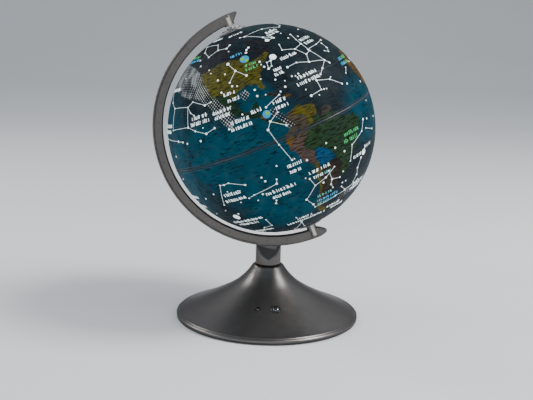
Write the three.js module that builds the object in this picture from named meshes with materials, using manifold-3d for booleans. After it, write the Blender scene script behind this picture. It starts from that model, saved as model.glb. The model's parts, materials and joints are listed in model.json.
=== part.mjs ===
// Desktop globe on a stand: a lit ball in a C-shaped meridian arm, on a trumpet-shaped battery base.
// Millimetres, +Z up. The origin is on the table under the base's axis, and the controls face -Y.
// The arm lies in the XZ plane and the globe's axis leans towards -X at its top.

import * as THREE from 'three';
import { mergeVertices } from 'three/addons/utils/BufferGeometryUtils.js';
import Module from 'manifold-3d';

const wasm = await Module();
wasm.setup();

// ---------------------------------------------------------------- driving dimensions

const GAP = 0.3; // air between two pieces that touch

const GLOBE_R = 115;
const GLOBE_WALL = 1.5;
const GLOBE_Z = 215.5; // height of the ball's centre
const TILT = THREE.MathUtils.degToRad(23.5);
const BALL_SEGMENTS = 32;
const BALL_LATITUDES = [12, 23.5, 39, 55, 71]; // degrees, where the ball's facets meet

const ARM_INNER_R = 122.8;
const ARM_OUTER_R = 134;
const ARM_THICK = 9;
const ARM_SHIFT = 2.4; // the arc's centre lies this far off the axis, on the open side
// Outline of each end of the arm, from its inner edge to its outer one: radius, and distance past the axis.
const TOP_END = [
  [122.8, 4.4], [124.5, 6], [127, 8.2], [129.5, 10.4],
  [131.3, 11.9], [132.6, 12.5], [133.5, 11.9], [134, 10.2],
];
const LOW_END = [
  [122.8, 6.2], [125, 9.7], [127.5, 12.9], [129.5, 14.9],
  [131, 15.4], [132.3, 14.1], [133.4, 10], [134, 4.5],
];
const RIM_WIDTH = 2;
const RIM_GROOVE = { width: 1.1, depth: 0.6, end: 0.1 }; // end is the angle it stops short of the axis
const BOSS_R = 5.6;
const PIN_R = 2;
const TUBE = { outer: 3, inner: 1.9 };

const NECK_R = 14.4;
const NECK_BOTTOM = 62;
const NECK_TOP = 89; // inside the arm
const FACET_START = 66.5; // height where each flat facet leaves the neck's round side
const FACET_END = 84.3; // height where it meets the arm's flat face
const RECESS_DEPTH = 0.8;
const SPIGOT = { r: 11, bottom: 38.3, bore: 4 };
const CLAMP = { r: 14, bottom: 35.8, screwX: 7.5, hole: 1.6 };

const BASE_R = 103.8;
const BASE_TOP = 61;
const BASE_WALL = 2.2;
const SKIRT_BOTTOM = 2.4;
const PLATE = { bottom: 0.9, top: 2.9, r: 103.7 };
const FOOT = { r: 6, ring: 88, top: 1.9 };
const SCREW_RING = 82;

const CELL = { r: 7.25, body: 49, nub: 1.5, nubR: 2.75, pitch: 15.6, firstY: 19.6, z: 9.95 };
const SPRING = { turns: 2.5, wideR: 4.6, narrowR: 2.4, wireR: 0.35 };
const BAY = { halfX: 27.4, y0: 12, y1: 58.6, top: 17.5, wall: 1.2 };
const DOOR = { thick: 1.2, tabHalf: 6, tabEnd: 68, screwY: 63.4 };

const PANEL_R = 58.7; // distance of the front controls from the base's axis
const SENSOR_X = -11.6;
const BUTTON_X = 8.4;
const BUTTON = { r: 3.6, dome: 1.5, hole: 4.6, spotface: 5.6 };
const SENSOR = { r: 2.5, hole: 2.8 };
const BOARD = { halfX: 17, halfY: 9, top: -10.7, bottom: -12.3, screwY: 6 };

const MODE_SWITCH = { x: 34, y: -34, knob: 4, slotHalf: 6.4, bodyBottom: 3.3 };

const DIAL = { r: 15.5, thick: 1 };
const COLLAR = { r: 11, bottom: 116.7, top: 117.9 };
const SOUTH_HOLE_R = 11.8;
const NORTH_HOLE_R = 6.3;
// The ring that joins the ball's halves, with a rib that shows at the equator.
const SEAM = { inner: 111.2, outer: 112.7, half: 4, ribR: 115.1, ribHalf: 0.7 };
const LAMP = { postBottom: -108, postTop: -36, headR: 10.4, domeTop: -18, wall: 0.8 };
const WIRE_R = { lamp: 0.5, battery: 0.6 };

// ---------------------------------------------------------------- materials

function material(name, color, roughness, metalness = 0) {
  return new THREE.MeshStandardMaterial({ name, color, roughness, metalness });
}
const gunmetal = material('gunmetal', 0x55555a, 0.42, 0.5);
const darkPlastic = material('dark_plastic', 0x35363a, 0.5);
const blackPlastic = material('black_plastic', 0x141416, 0.35);
const whitePlastic = material('white_plastic', 0xe8e6df, 0.45);
const mapPlastic = material('map_plastic', 0x14495c, 0.3);
const dialPlastic = material('dial_plastic', 0x8d8d90, 0.4, 0.4);
const rubber = material('rubber', 0x1c1c1c, 0.9);
const steel = material('steel', 0xb9bbc0, 0.3, 1);
const brass = material('brass', 0xc8a45a, 0.35, 1);
const boardGreen = material('board_green', 0x1f5a36, 0.5);
const clearLens = material('clear_lens', 0xcfd6da, 0.08);
const frosted = material('frosted', 0xf4f4ee, 0.6);
const glossButton = material('gloss_button', 0x4a4b50, 0.12, 0.8);
const cellWrap = material('cell_wrap', 0x3a3f46, 0.4);
const redWire = material('red_wire', 0xa82a22, 0.5);
const blackWire = material('black_wire', 0x18181a, 0.5);

// ---------------------------------------------------------------- solid helpers

// A closed geometry as a manifold-3d solid, whichever way its faces were wound.
function solid(geometry) {
  const bare = geometry.clone();
  bare.deleteAttribute('normal');
  bare.deleteAttribute('uv');
  const merged = mergeVertices(bare, 1e-4);
  const triVerts = new Uint32Array(merged.index.array);
  const build = () => new wasm.Manifold(new wasm.Mesh({
    numProp: 3, vertProperties: merged.attributes.position.array, triVerts,
  }));
  const made = build();
  if (made.volume() > 0) return made;
  for (let i = 0; i < triVerts.length; i += 3) {
    [triVerts[i + 1], triVerts[i + 2]] = [triVerts[i + 2], triVerts[i + 1]];
  }
  return build();
}

// A manifold-3d solid as a BufferGeometry.
function geometryOf(made) {
  const mesh = made.getMesh();
  const positions = new Float32Array(mesh.numVert * 3);
  for (let i = 0; i < mesh.numVert; i++) {
    positions.set(mesh.vertProperties.subarray(i * mesh.numProp, i * mesh.numProp + 3), i * 3);
  }
  return new THREE.BufferGeometry()
    .setAttribute('position', new THREE.BufferAttribute(positions, 3))
    .setIndex(new THREE.BufferAttribute(new Uint32Array(mesh.triVerts), 1));
}

function join(...geometries) {
  return geometryOf(geometries.map(solid).reduce((a, b) => a.add(b)));
}

function cut(body, ...tools) {
  return geometryOf(tools.map(solid).reduce((a, b) => a.subtract(b), solid(body)));
}

function common(a, b) {
  return geometryOf(solid(a).intersect(solid(b)));
}

// Turns a closed [radius, height] outline about +Z, with its faces outwards.
function lathe(outline, segments = 24) {
  const points = outline.map(([r, z]) => new THREE.Vector2(r, z));
  if (THREE.ShapeUtils.isClockWise(points)) points.reverse();
  if (points[0].x > 0) points.push(points[0].clone());
  return new THREE.LatheGeometry(points, segments).rotateX(Math.PI / 2);
}

// An upright cylinder between two heights.
function post(r, z0, z1, x = 0, y = 0, segments = 24) {
  return new THREE.CylinderGeometry(r, r, z1 - z0, segments)
    .rotateX(Math.PI / 2).translate(x, y, (z0 + z1) / 2);
}

// A box from its lowest to its highest corner.
function box(x0, y0, z0, x1, y1, z1) {
  return new THREE.BoxGeometry(x1 - x0, y1 - y0, z1 - z0)
    .translate((x0 + x1) / 2, (y0 + y1) / 2, (z0 + z1) / 2);
}

// A prism of a (y, z) outline, running along X.
function prismX(outline, halfLength) {
  const shape = new THREE.Shape(outline.map(([y, z]) => new THREE.Vector2(y, z)));
  return new THREE.ExtrudeGeometry(shape, { depth: 2 * halfLength, bevelEnabled: false })
    .translate(0, 0, -halfLength)
    .applyMatrix4(new THREE.Matrix4().makeBasis(
      new THREE.Vector3(0, 1, 0), new THREE.Vector3(0, 0, 1), new THREE.Vector3(1, 0, 0)));
}

// A prism of an (x, z) outline, standing across Y between two values.
function prismY(shape, y0, y1, curveSegments = 24) {
  return new THREE.ExtrudeGeometry(shape, { depth: y1 - y0, bevelEnabled: false, curveSegments })
    .rotateX(Math.PI / 2).translate(0, y1, 0);
}

// A round wire along a smooth curve through the points.
function wire(points, r, steps, sides = 6) {
  const section = new THREE.Shape(new THREE.EllipseCurve(0, 0, r, r).getPoints(sides).slice(0, -1));
  const path = new THREE.CatmullRomCurve3(points.map((p) => new THREE.Vector3(...p)), false, 'centripetal');
  return new THREE.ExtrudeGeometry(section, { steps, extrudePath: path, bevelEnabled: false });
}

// A screw with its head's underside at height 0 and its shank pointing up.
function screw(headR, headH, shankR, shankL) {
  return lathe([
    [0, -headH], [headR * 0.75, -headH], [headR, -headH * 0.5], [headR, 0], [shankR, 0],
    [shankR, shankL - shankR], [0, shankL],
  ], 10);
}

const globe = new THREE.Group(); // the frame of everything on the tilted axis
globe.position.set(0, 0, GLOBE_Z);
globe.rotation.y = -TILT;
globe.updateMatrix();
const stand = new THREE.Group();
stand.add(globe);

function add(parent, name, geometry, finish) {
  const mesh = new THREE.Mesh(geometry, finish);
  mesh.name = name;
  parent.add(mesh);
  return mesh;
}

// ---------------------------------------------------------------- base shell

// The outer flank, from the shoulder to the rim, as a smooth trumpet.
const flank = new THREE.SplineCurve([
  [17.6, 60.1], [21, 55.2], [26.5, 48.4], [35, 40.4], [47, 32.3],
  [62, 24.1], [80, 15.3], [94, 9.1], [102.6, 5.8],
].map(([r, z]) => new THREE.Vector2(r, z)));
const FLANK_STEPS = 10;

function flankPoint(t, inset) {
  const p = flank.getPointAt(t);
  const along = flank.getTangentAt(t);
  return [p.x + along.y * inset, p.y - along.x * inset];
}

// Height and slope of the flank at a radius, found along the curve.
function flankAt(r) {
  let low = 0;
  let high = 1;
  for (let i = 0; i < 30; i++) {
    const mid = (low + high) / 2;
    if (flank.getPointAt(mid).x < r) low = mid;
    else high = mid;
  }
  const along = flank.getTangentAt(low);
  return { z: flank.getPointAt(low).y, slope: Math.atan2(-along.y, along.x) };
}

const panelSpot = flankAt(PANEL_R);
const panel = new THREE.Group(); // its origin is on the flank, +Z is the flank's outward normal
panel.position.set(0, -PANEL_R, panelSpot.z);
panel.rotation.x = panelSpot.slope;
panel.updateMatrix();
stand.add(panel);

const inPanel = (geometry) => geometry.applyMatrix4(panel.matrix);

// Four places on a ring, the first at an angle in degrees from +X.
function fourAround(ring, start) {
  return [0, 90, 180, 270].map((turn) => {
    const a = THREE.MathUtils.degToRad(start + turn);
    return [ring * Math.cos(a), ring * Math.sin(a)];
  });
}
const footSpots = fourAround(FOOT.ring, 0);
const screwSpots = fourAround(SCREW_RING, 45);
const boardScrewYs = [-BOARD.screwY, BOARD.screwY];

function baseShell() {
  const steps = Array.from({ length: FLANK_STEPS }, (_, i) => i / (FLANK_STEPS - 1));
  const outside = steps.map((t) => flankPoint(t, 0));
  const inside = [0.1, 0.35, 0.6, 0.8, 0.95].map((t) => flankPoint(t, BASE_WALL));
  const sleeveR = SPIGOT.r + GAP + 0.1;
  const outline = [
    [sleeveR, BASE_TOP], [16, BASE_TOP], [17, 60.8], ...outside, [103.5, 5], [BASE_R, 4.2],
    [BASE_R, SKIRT_BOTTOM], [BASE_R - BASE_WALL, SKIRT_BOTTOM], [BASE_R - BASE_WALL, 3.6],
    ...inside.reverse(), [sleeveR + 3, 54], [sleeveR + 3, SPIGOT.bottom], [sleeveR, SPIGOT.bottom],
  ];
  const shell = lathe(outline, 36);
  const bosses = screwSpots.map(([x, y]) => post(3.6, 4.5, flankAt(SCREW_RING).z - 1.4, x, y, 12));
  const boardBosses = boardScrewYs.map((y) => inPanel(post(2.6, BOARD.top + GAP, -1.6, 0, y, 12)));
  const screwHoles = screwSpots.map(([x, y]) => post(1.7, 3, 11, x, y, 10));
  const boardHoles = boardScrewYs.map((y) => inPanel(post(1.2, BOARD.top - 1, -4.2, 0, y, 8)));
  return cut(
    join(shell, ...bosses, ...boardBosses), ...screwHoles, ...boardHoles,
    inPanel(post(BUTTON.hole, -7, 3, BUTTON_X, 0, 20)),
    inPanel(post(BUTTON.spotface, -1, 3, BUTTON_X, 0, 20)),
    inPanel(post(SENSOR.hole, -7, 3, SENSOR_X, 0, 16)),
  );
}
add(stand, 'base_shell', baseShell(), gunmetal);

// ---------------------------------------------------------------- bottom plate, battery bay and door

const PAD_TOP = 4.2;
const DOOR_RECESS = PLATE.bottom + DOOR.thick + GAP;

function doorOutline(clear) {
  const x = BAY.halfX - clear;
  const tab = DOOR.tabHalf - clear;
  const y0 = BAY.y0 + clear;
  const y1 = BAY.y1 - clear;
  return new THREE.Shape([
    [-x, y0], [x, y0], [x, y1], [tab, y1], [tab, DOOR.tabEnd - 2], [tab - 2, DOOR.tabEnd - clear],
    [2 - tab, DOOR.tabEnd - clear], [-tab, DOOR.tabEnd - 2], [-tab, y1], [-x, y1],
  ].map(([a, b]) => new THREE.Vector2(a, b)));
}

function slab(shape, z0, z1) {
  return new THREE.ExtrudeGeometry(shape, { depth: z1 - z0, bevelEnabled: false }).translate(0, 0, z0);
}

function bottomPlate() {
  const disc = lathe([
    [0, PLATE.bottom], [PLATE.r, PLATE.bottom], [PLATE.r, SKIRT_BOTTOM - GAP], [101.2, SKIRT_BOTTOM - GAP],
    [101.2, 3.4], [99.2, 3.4], [99.2, PLATE.top], [0, PLATE.top],
  ], 36);
  const w = BAY.wall;
  const bay = box(-BAY.halfX - w, BAY.y0 - w, PLATE.bottom, BAY.halfX + w, BAY.y1 + w, BAY.top + w);
  const pads = screwSpots.map(([x, y]) => post(5, PLATE.bottom, PAD_TOP, x, y, 16));
  const doorPad = post(4, PLATE.bottom, 8, 0, DOOR.screwY, 16);
  return cut(
    join(disc, bay, ...pads, doorPad),
    box(-BAY.halfX, BAY.y0, -1, BAY.halfX, BAY.y1, BAY.top),
    slab(doorOutline(0), -1, DOOR_RECESS),
    post(1.5, 2, 7.2, 0, DOOR.screwY, 10),
    ...screwSpots.map(([x, y]) => post(3.3, 0, 3, x, y, 16)),
    ...screwSpots.map(([x, y]) => post(1.7, 2, 6, x, y, 10)),
    ...[...footSpots, [0, 0]].map(([x, y]) => post(FOOT.r + GAP, 0, FOOT.top + GAP, x, y, 20)),
    box(MODE_SWITCH.x - MODE_SWITCH.slotHalf, MODE_SWITCH.y - 2.6, 0,
      MODE_SWITCH.x + MODE_SWITCH.slotHalf, MODE_SWITCH.y + 2.6, 4),
  );
}
add(stand, 'bottom_plate', bottomPlate(), darkPlastic);

function batteryDoor() {
  const door = slab(doorOutline(GAP), PLATE.bottom, PLATE.bottom + DOOR.thick);
  const grips = [-6, 0, 6].map((x) => box(x - 1.2, 18, 0, x + 1.2, 30, PLATE.bottom + 0.5));
  const hole = post(1.9, 0, 4, 0, DOOR.screwY, 12);
  const counterbore = post(3.4, 0, PLATE.bottom + 0.6, 0, DOOR.screwY, 16);
  return cut(door, hole, counterbore, ...grips);
}
add(stand, 'battery_door', batteryDoor(), darkPlastic);
add(stand, 'battery_door_screw', screw(2.8, 0.5, 1.2, 5), steel)
  .position.set(0, DOOR.screwY, PLATE.bottom + 0.425);

[...footSpots, [0, 0]].forEach(([x, y], i) => {
  const foot = lathe([[0, 0], [FOOT.r - 0.5, 0], [FOOT.r, 0.5], [FOOT.r, FOOT.top], [0, FOOT.top]], 16);
  add(stand, i < 4 ? `foot_${i + 1}` : 'foot_centre', foot, rubber).position.set(x, y, 0);
});
screwSpots.forEach(([x, y], i) => {
  add(stand, `base_screw_${i + 1}`, screw(2.9, 1.6, 1.35, 7), steel).position.set(x, y, 3 - GAP);
});

// Three cells lie along X, every second one turned round, with a spring at each flat end.
const cellEnd = CELL.body / 2;
const cellOutline = [
  [0, -cellEnd], [CELL.r - 0.6, -cellEnd], [CELL.r, -cellEnd + 0.6], [CELL.r, cellEnd - 0.8],
  [CELL.r - 0.8, cellEnd], [CELL.nubR, cellEnd], [CELL.nubR, cellEnd + CELL.nub], [0, cellEnd + CELL.nub],
];
const PLATE_X = BAY.halfX - 0.7; // inner face of each contact plate
for (let i = 0; i < 3; i++) {
  const y = CELL.firstY + i * CELL.pitch;
  const way = i % 2 === 0 ? 1 : -1;
  const middle = PLATE_X - GAP - CELL.nub - cellEnd;
  const cell = add(stand, `battery_${i + 1}`, lathe(cellOutline, 14).rotateY(Math.PI / 2), cellWrap);
  cell.position.set(way * middle, y, CELL.z);
  cell.rotation.z = way > 0 ? 0 : Math.PI;
  const springLength = PLATE_X - (cellEnd - middle) - 2 * GAP - 0.8;
  const coil = Array.from({ length: 22 }, (_, k) => {
    const t = k / 21;
    const a = t * SPRING.turns * 2 * Math.PI;
    const r = SPRING.wideR + t * (SPRING.narrowR - SPRING.wideR);
    return [t * springLength, r * Math.cos(a), r * Math.sin(a)];
  });
  const spring = add(stand, `contact_spring_${i + 1}`, wire(coil, SPRING.wireR, 24, 4), steel);
  spring.position.set(-way * (PLATE_X - GAP - 0.4), y, CELL.z);
  spring.rotation.z = way > 0 ? 0 : Math.PI;
}
for (const [name, side] of [['contact_plate_left', -1], ['contact_plate_right', 1]]) {
  const plate = box(-0.2, BAY.y0 + 1, 4, 0.2, BAY.y1 - 1, 16);
  add(stand, name, plate, steel).position.x = side * (PLATE_X + 0.2);
}

// ---------------------------------------------------------------- front controls

add(panel, 'control_board', cut(
  box(-BOARD.halfX, -BOARD.halfY, BOARD.bottom, BOARD.halfX, BOARD.halfY, BOARD.top),
  ...boardScrewYs.map((y) => post(1.3, -14, -9, 0, y, 10)),
), boardGreen);
boardScrewYs.forEach((y, i) => {
  add(panel, `board_screw_${i + 1}`, screw(2, 1.2, 0.9, 5), steel).position.set(0, y, BOARD.bottom - GAP);
});

const buttonFrame = new THREE.Group();
buttonFrame.position.x = BUTTON_X;
panel.add(buttonFrame);
add(buttonFrame, 'power_button', lathe([
  [0, -5.4], [1.5, -5.4], [1.5, -4.1], [BUTTON.hole - GAP, -4.1], [BUTTON.hole - GAP, -3.1], [BUTTON.r, -3.1],
  [BUTTON.r, 0.2], [BUTTON.r * 0.86, 0.75], [BUTTON.r * 0.5, BUTTON.dome * 0.88], [0, BUTTON.dome],
], 20), glossButton);
add(buttonFrame, 'button_bezel', lathe([
  [BUTTON.r + GAP, -2.8], [BUTTON.hole - GAP, -2.8], [BUTTON.hole - GAP, -0.7], [BUTTON.spotface - GAP, -0.7],
  [BUTTON.spotface - GAP, -0.1], [BUTTON.spotface - 1, 0.3], [BUTTON.r + GAP, 0],
], 20), blackPlastic);
add(buttonFrame, 'switch_plunger', lathe([[0, -8.6], [1.4, -8.6], [1.4, -5.7], [0, -5.7]], 12), blackPlastic);
add(buttonFrame, 'tact_switch', cut(
  box(-3, -3, BOARD.top + GAP, 3, 3, -7.2), post(1.8, -10.2, -6, 0, 0, 12)), blackPlastic);

const sensorFrame = new THREE.Group();
sensorFrame.position.x = SENSOR_X;
panel.add(sensorFrame);
add(sensorFrame, 'sensor_lens', lathe([
  [0, -3.8], [3.5, -3.8], [3.5, -3.3], [SENSOR.r, -3.3], [SENSOR.r, -0.4], [SENSOR.r * 0.75, 0.1], [0, 0.35],
], 16), clearLens);
add(sensorFrame, 'light_sensor', join(
  post(2.4, -6, -4.2, 0, 0, 14), box(-1.4, -0.3, BOARD.top + GAP, -0.8, 0.3, -5),
  box(0.8, -0.3, BOARD.top + GAP, 1.4, 0.3, -5)), brass);

// ---------------------------------------------------------------- mode switch under the base

const modeFrame = new THREE.Group();
modeFrame.position.set(MODE_SWITCH.x, MODE_SWITCH.y, 0);
stand.add(modeFrame);
add(modeFrame, 'mode_switch_body', box(-7.5, -3.5, MODE_SWITCH.bodyBottom, 7.5, 3.5, 8.6), steel);
add(modeFrame, 'mode_switch_knob', join(
  box(-2, -2, PLATE.bottom + 0.2, 2, 2, MODE_SWITCH.bodyBottom - GAP),
  box(-0.4, -2, PLATE.bottom, 0.4, 2, PLATE.bottom + 0.5)), blackPlastic);

// ---------------------------------------------------------------- meridian arm with its neck

const polar = (r, a) => [ARM_SHIFT - r * Math.sin(a), r * Math.cos(a)];
const ARC_SEGMENTS = 32;

// A band of the arm's arc between two radii and two angles from the top, round the left side.
function arcBand(r0, r1, a0, a1, y0, y1, segments = ARC_SEGMENTS) {
  const edge = (r, from, to) => Array.from({ length: segments + 1 }, (_, i) => {
    const [x, z] = polar(r, from + ((to - from) * i) / segments);
    return new THREE.Vector2(x, z);
  });
  const shape = new THREE.Shape([...edge(r1, a0, a1), ...edge(r0, a1, a0)]);
  return prismY(shape, y0, y1);
}

// The arm's outline: both arcs, joined by its two ends.
function armOutline() {
  const turn = ([r, past]) => Math.asin((ARM_SHIFT - past) / r);
  const end = (outline, way) => outline.map(
    ([r, past]) => [past, way * Math.sqrt(r ** 2 - (ARM_SHIFT - past) ** 2)]);
  const arc = (r, from, to) => Array.from(
    { length: ARC_SEGMENTS - 1 }, (_, i) => polar(r, from + ((to - from) * (i + 1)) / ARC_SEGMENTS));
  const outline = [
    ...end(TOP_END, 1),
    ...arc(ARM_OUTER_R, turn(TOP_END.at(-1)), Math.PI - turn(LOW_END.at(-1))),
    ...end(LOW_END.toReversed(), -1),
    ...arc(ARM_INNER_R, Math.PI - turn(LOW_END[0]), turn(TOP_END[0])),
  ];
  return new THREE.Shape(outline.map(([x, z]) => new THREE.Vector2(x, z)));
}

const inGlobe = (geometry) => geometry.applyMatrix4(globe.matrix);
const HALF = ARM_THICK / 2;

// The wedge outside a facet's plane on the -Y or +Y side, with the plane moved outwards by a distance.
function facetWedge(side, out) {
  const rise = FACET_END - FACET_START;
  const run = NECK_R - HALF;
  const length = Math.hypot(rise, run);
  const onPlane = (t) => [
    NECK_R - run * t + (rise / length) * out, FACET_START + rise * t + (run / length) * out];
  const foot = onPlane(-0.6);
  const top = onPlane(1);
  const outline = [foot, top, [top[0], 110], [40, 110], [40, foot[1]]];
  return prismX(outline.map(([y, z]) => [side * y, z]), 20);
}

// A shallow U-shaped recess in each facet, leaving a narrow border round it.
function facetRecess(side) {
  const layer = cut(facetWedge(side, -RECESS_DEPTH), facetWedge(side, 3));
  return common(layer, post(NECK_R - 2, FACET_START - 5, FACET_END - 1.2, 0, 0, 28));
}

const clampScrewXs = [-CLAMP.screwX, CLAMP.screwX];
const CHANNEL = { r0: 125.6, r1: 128.8, bottom: -1.5 };
const COVER = { r0: 124.2, r1: 130, thick: 1.2 };
const NECK_ANGLE = Math.PI - TILT; // where the arm passes over the neck, from the top of the axis
const COVER_START = NECK_ANGLE - 0.11;
const COVER_END = Math.PI - 0.062;
const [coverScrewX, coverScrewZ] = polar((COVER.r0 + COVER.r1) / 2, NECK_ANGLE - 0.078);

// A hole across the arm at the cover's screw.
function coverScrewHole(r, y0, y1) {
  return new THREE.CylinderGeometry(r, r, y1 - y0, 12).translate(coverScrewX, (y0 + y1) / 2, coverScrewZ);
}

function meridianArm() {
  const bossTop = post(BOSS_R, 121, ARM_OUTER_R - 0.8, 0, 0, 20);
  const bossBottom = post(BOSS_R, 0.8 - ARM_OUTER_R, -117.4, 0, 0, 20);
  const outside = ARM_OUTER_R - RIM_WIDTH;
  const groove = (y0, y1) => arcBand(
    outside - RIM_GROOVE.width, outside, RIM_GROOVE.end, Math.PI - RIM_GROOVE.end, y0, y1);
  const grooved = cut(
    prismY(armOutline(), -HALF, HALF),
    groove(-HALF - 1, -HALF + RIM_GROOVE.depth), groove(HALF - RIM_GROOVE.depth, HALF + 1));
  const neck = cut(
    join(
      lathe([[0, NECK_BOTTOM], [NECK_R - 0.5, NECK_BOTTOM], [NECK_R, NECK_BOTTOM + 0.5], [NECK_R, NECK_TOP],
        [0, NECK_TOP]], 32),
      post(SPIGOT.r, SPIGOT.bottom, NECK_BOTTOM + 1, 0, 0, 32)),
    facetWedge(-1, 0), facetWedge(1, 0));
  const whole = join(inGlobe(join(grooved, bossTop, bossBottom)), neck);
  const hidden = [
    post(SPIGOT.bore, 30, 64, 0, 0, 16), post(2.3, 60, 83, 0, 0, 12), box(-2.3, -1.5, 82, 5, 1.5, 88.4),
    ...clampScrewXs.map((x) => post(CLAMP.hole, 30, 49, x, 0, 10)),
    inGlobe(arcBand(CHANNEL.r0, CHANNEL.r1, NECK_ANGLE - 0.03, COVER_END - 0.01, CHANNEL.bottom, HALF + 1, 10)),
    inGlobe(arcBand(COVER.r0, COVER.r1, COVER_START, COVER_END, HALF - COVER.thick - GAP, HALF + 1, 10)),
    inGlobe(arcBand(CHANNEL.r0, CHANNEL.r1, COVER_END - 0.03, Math.PI + 0.018, CHANNEL.bottom, 1.5, 3)),
    inGlobe(post(TUBE.outer + GAP, -129, -117, 0, 0, 16)),
    inGlobe(post(PIN_R + GAP, 120, 130, 0, 0, 14)),
    inGlobe(coverScrewHole(1.1, HALF - 4.6, HALF - 0.2)),
    facetRecess(-1), facetRecess(1),
  ];
  return cut(whole, ...hidden);
}

add(stand, 'meridian_arm', meridianArm(), gunmetal);

function armCover() {
  const strip = arcBand(
    COVER.r0 + GAP, COVER.r1 - GAP, COVER_START + 0.003, COVER_END - 0.003, HALF - COVER.thick, HALF, 10);
  return cut(strip, coverScrewHole(1.2, 0, 5), coverScrewHole(2.2, HALF - 0.5, 5));
}
add(globe, 'arm_wire_cover', armCover(), gunmetal);
add(globe, 'arm_cover_screw', screw(1.9, 0.45, 0.8, 3.4).rotateX(Math.PI / 2), steel)
  .position.set(coverScrewX, HALF - 0.4, coverScrewZ);

const clampInner = SPIGOT.bore + 0.6;
const clampTop = SPIGOT.bottom - GAP;
add(stand, 'neck_clamp_plate', cut(
  lathe([
    [clampInner, CLAMP.bottom], [CLAMP.r, CLAMP.bottom], [CLAMP.r, clampTop], [clampInner, clampTop],
  ], 20),
  ...clampScrewXs.map((x) => post(CLAMP.hole, 30, 40, x, 0, 10))), steel);
clampScrewXs.forEach((x, i) => {
  add(stand, `neck_screw_${i + 1}`, screw(2.8, 1.8, 1.3, 12), steel).position.set(x, 0, CLAMP.bottom - GAP);
});

// ---------------------------------------------------------------- pivots and lamp, on the tilted axis

add(globe, 'top_pivot_pin', lathe([
  [0, 104], [PIN_R - 0.4, 104], [PIN_R, 104.6], [PIN_R, 129.6], [0, 129.6],
], 14), steel);
add(globe, 'top_collar', lathe([
  [PIN_R + GAP, COLLAR.bottom], [COLLAR.r - 0.3, COLLAR.bottom], [COLLAR.r, COLLAR.bottom + 0.3],
  [COLLAR.r, COLLAR.top - 0.4], [COLLAR.r - 0.6, COLLAR.top], [4.4, COLLAR.top], [4, COLLAR.top + 1.6],
  [PIN_R + GAP, COLLAR.top + 1.6],
], 20), dialPlastic);
add(globe, 'thrust_washer', lathe([
  [TUBE.outer + GAP, -117.1], [6.4, -117.1], [6.4, -116.4], [TUBE.outer + GAP, -116.4],
], 24), brass);
add(globe, 'lower_pivot_tube', lathe([
  [TUBE.inner, -123.6], [TUBE.outer, -123.6], [TUBE.outer, -97], [TUBE.inner, -97],
], 16), steel);
add(globe, 'lamp_post', lathe([
  [TUBE.outer + GAP, LAMP.postBottom], [6.5, LAMP.postBottom], [6.5, LAMP.postTop - 4], [9, LAMP.postTop - 1.6],
  [9, LAMP.postTop], [TUBE.outer + GAP, LAMP.postTop],
], 20), whitePlastic);
add(globe, 'led_board', lathe([
  [1.9, LAMP.postTop + GAP], [9.4, LAMP.postTop + GAP], [9.4, LAMP.postTop + 1.5], [1.9, LAMP.postTop + 1.5],
], 20), boardGreen);
add(globe, 'led', lathe([
  [0, -34.1], [2.9, -34.1], [2.9, -33.3], [2.5, -33.3], [2.5, -29.5], [1.5, -27.9], [0, -27.4],
], 14), clearLens);

// A short tube with a domed top.
function lampDiffuser() {
  const domeStart = LAMP.domeTop - LAMP.headR;
  const arc = (r) => [0, 1, 2, 3, 4].map((i) => {
    const a = (i * Math.PI) / 8;
    return [i < 4 ? r * Math.cos(a) : 0, domeStart + r * Math.sin(a)];
  });
  return lathe([
    [LAMP.headR - LAMP.wall, LAMP.postTop + GAP], [LAMP.headR, LAMP.postTop + GAP],
    ...arc(LAMP.headR), ...arc(LAMP.headR - LAMP.wall).reverse(),
  ], 16);
}
add(globe, 'lamp_diffuser', lampDiffuser(), frosted);

// ---------------------------------------------------------------- the ball

// One half of the ball, from the equator gap to its polar hole; way is +1 for the north.
function hemisphere(way, holeR) {
  const halfGap = 1;
  const arc = (r) => [
    Math.asin(halfGap / r), ...BALL_LATITUDES.map(THREE.MathUtils.degToRad), Math.acos(holeR / r),
  ].map((a) => [r * Math.cos(a), way * r * Math.sin(a)]);
  return lathe([...arc(GLOBE_R), ...arc(GLOBE_R - GLOBE_WALL).reverse()], BALL_SEGMENTS);
}
add(globe, 'north_hemisphere', hemisphere(1, NORTH_HOLE_R), mapPlastic);
add(globe, 'south_hemisphere', hemisphere(-1, SOUTH_HOLE_R), mapPlastic);
add(globe, 'equator_ring', lathe([
  [SEAM.inner, -SEAM.half], [SEAM.outer, -SEAM.half], [SEAM.outer, -SEAM.ribHalf], [SEAM.ribR, -SEAM.ribHalf],
  [SEAM.ribR, SEAM.ribHalf], [SEAM.outer, SEAM.ribHalf], [SEAM.outer, SEAM.half], [SEAM.inner, SEAM.half],
], BALL_SEGMENTS), whitePlastic);

const northR = NORTH_HOLE_R - GAP;
const southR = SOUTH_HOLE_R - GAP;
const tubeBore = TUBE.outer + 0.4;
add(globe, 'north_bushing', lathe([
  [PIN_R + GAP, 108], [9, 108], [9, 109.4], [northR, 111.4], [northR, 114.9], [PIN_R + GAP, 114.9],
], 20), whitePlastic);
add(globe, 'south_bushing', lathe([
  [tubeBore, -116.1], [14.9, -116.1], [DIAL.r, -115.5], [DIAL.r, -114.8], [southR, -114.8],
  [southR, -110.5], [tubeBore, -110.5],
], 24), dialPlastic);

// The hour dial is a shallow cap that follows the ball, clear of it by GAP.
function hourDial() {
  const low = GLOBE_R + GAP;
  const high = low + DIAL.thick;
  const radii = [PIN_R + GAP, 9, DIAL.r];
  const cap = (sphere) => radii.map((r) => [r, Math.sqrt(sphere ** 2 - r ** 2)]);
  return lathe([...cap(low), ...cap(high).reverse()], 24);
}
add(globe, 'hour_dial', hourDial(), dialPlastic);

// ---------------------------------------------------------------- wires

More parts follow.
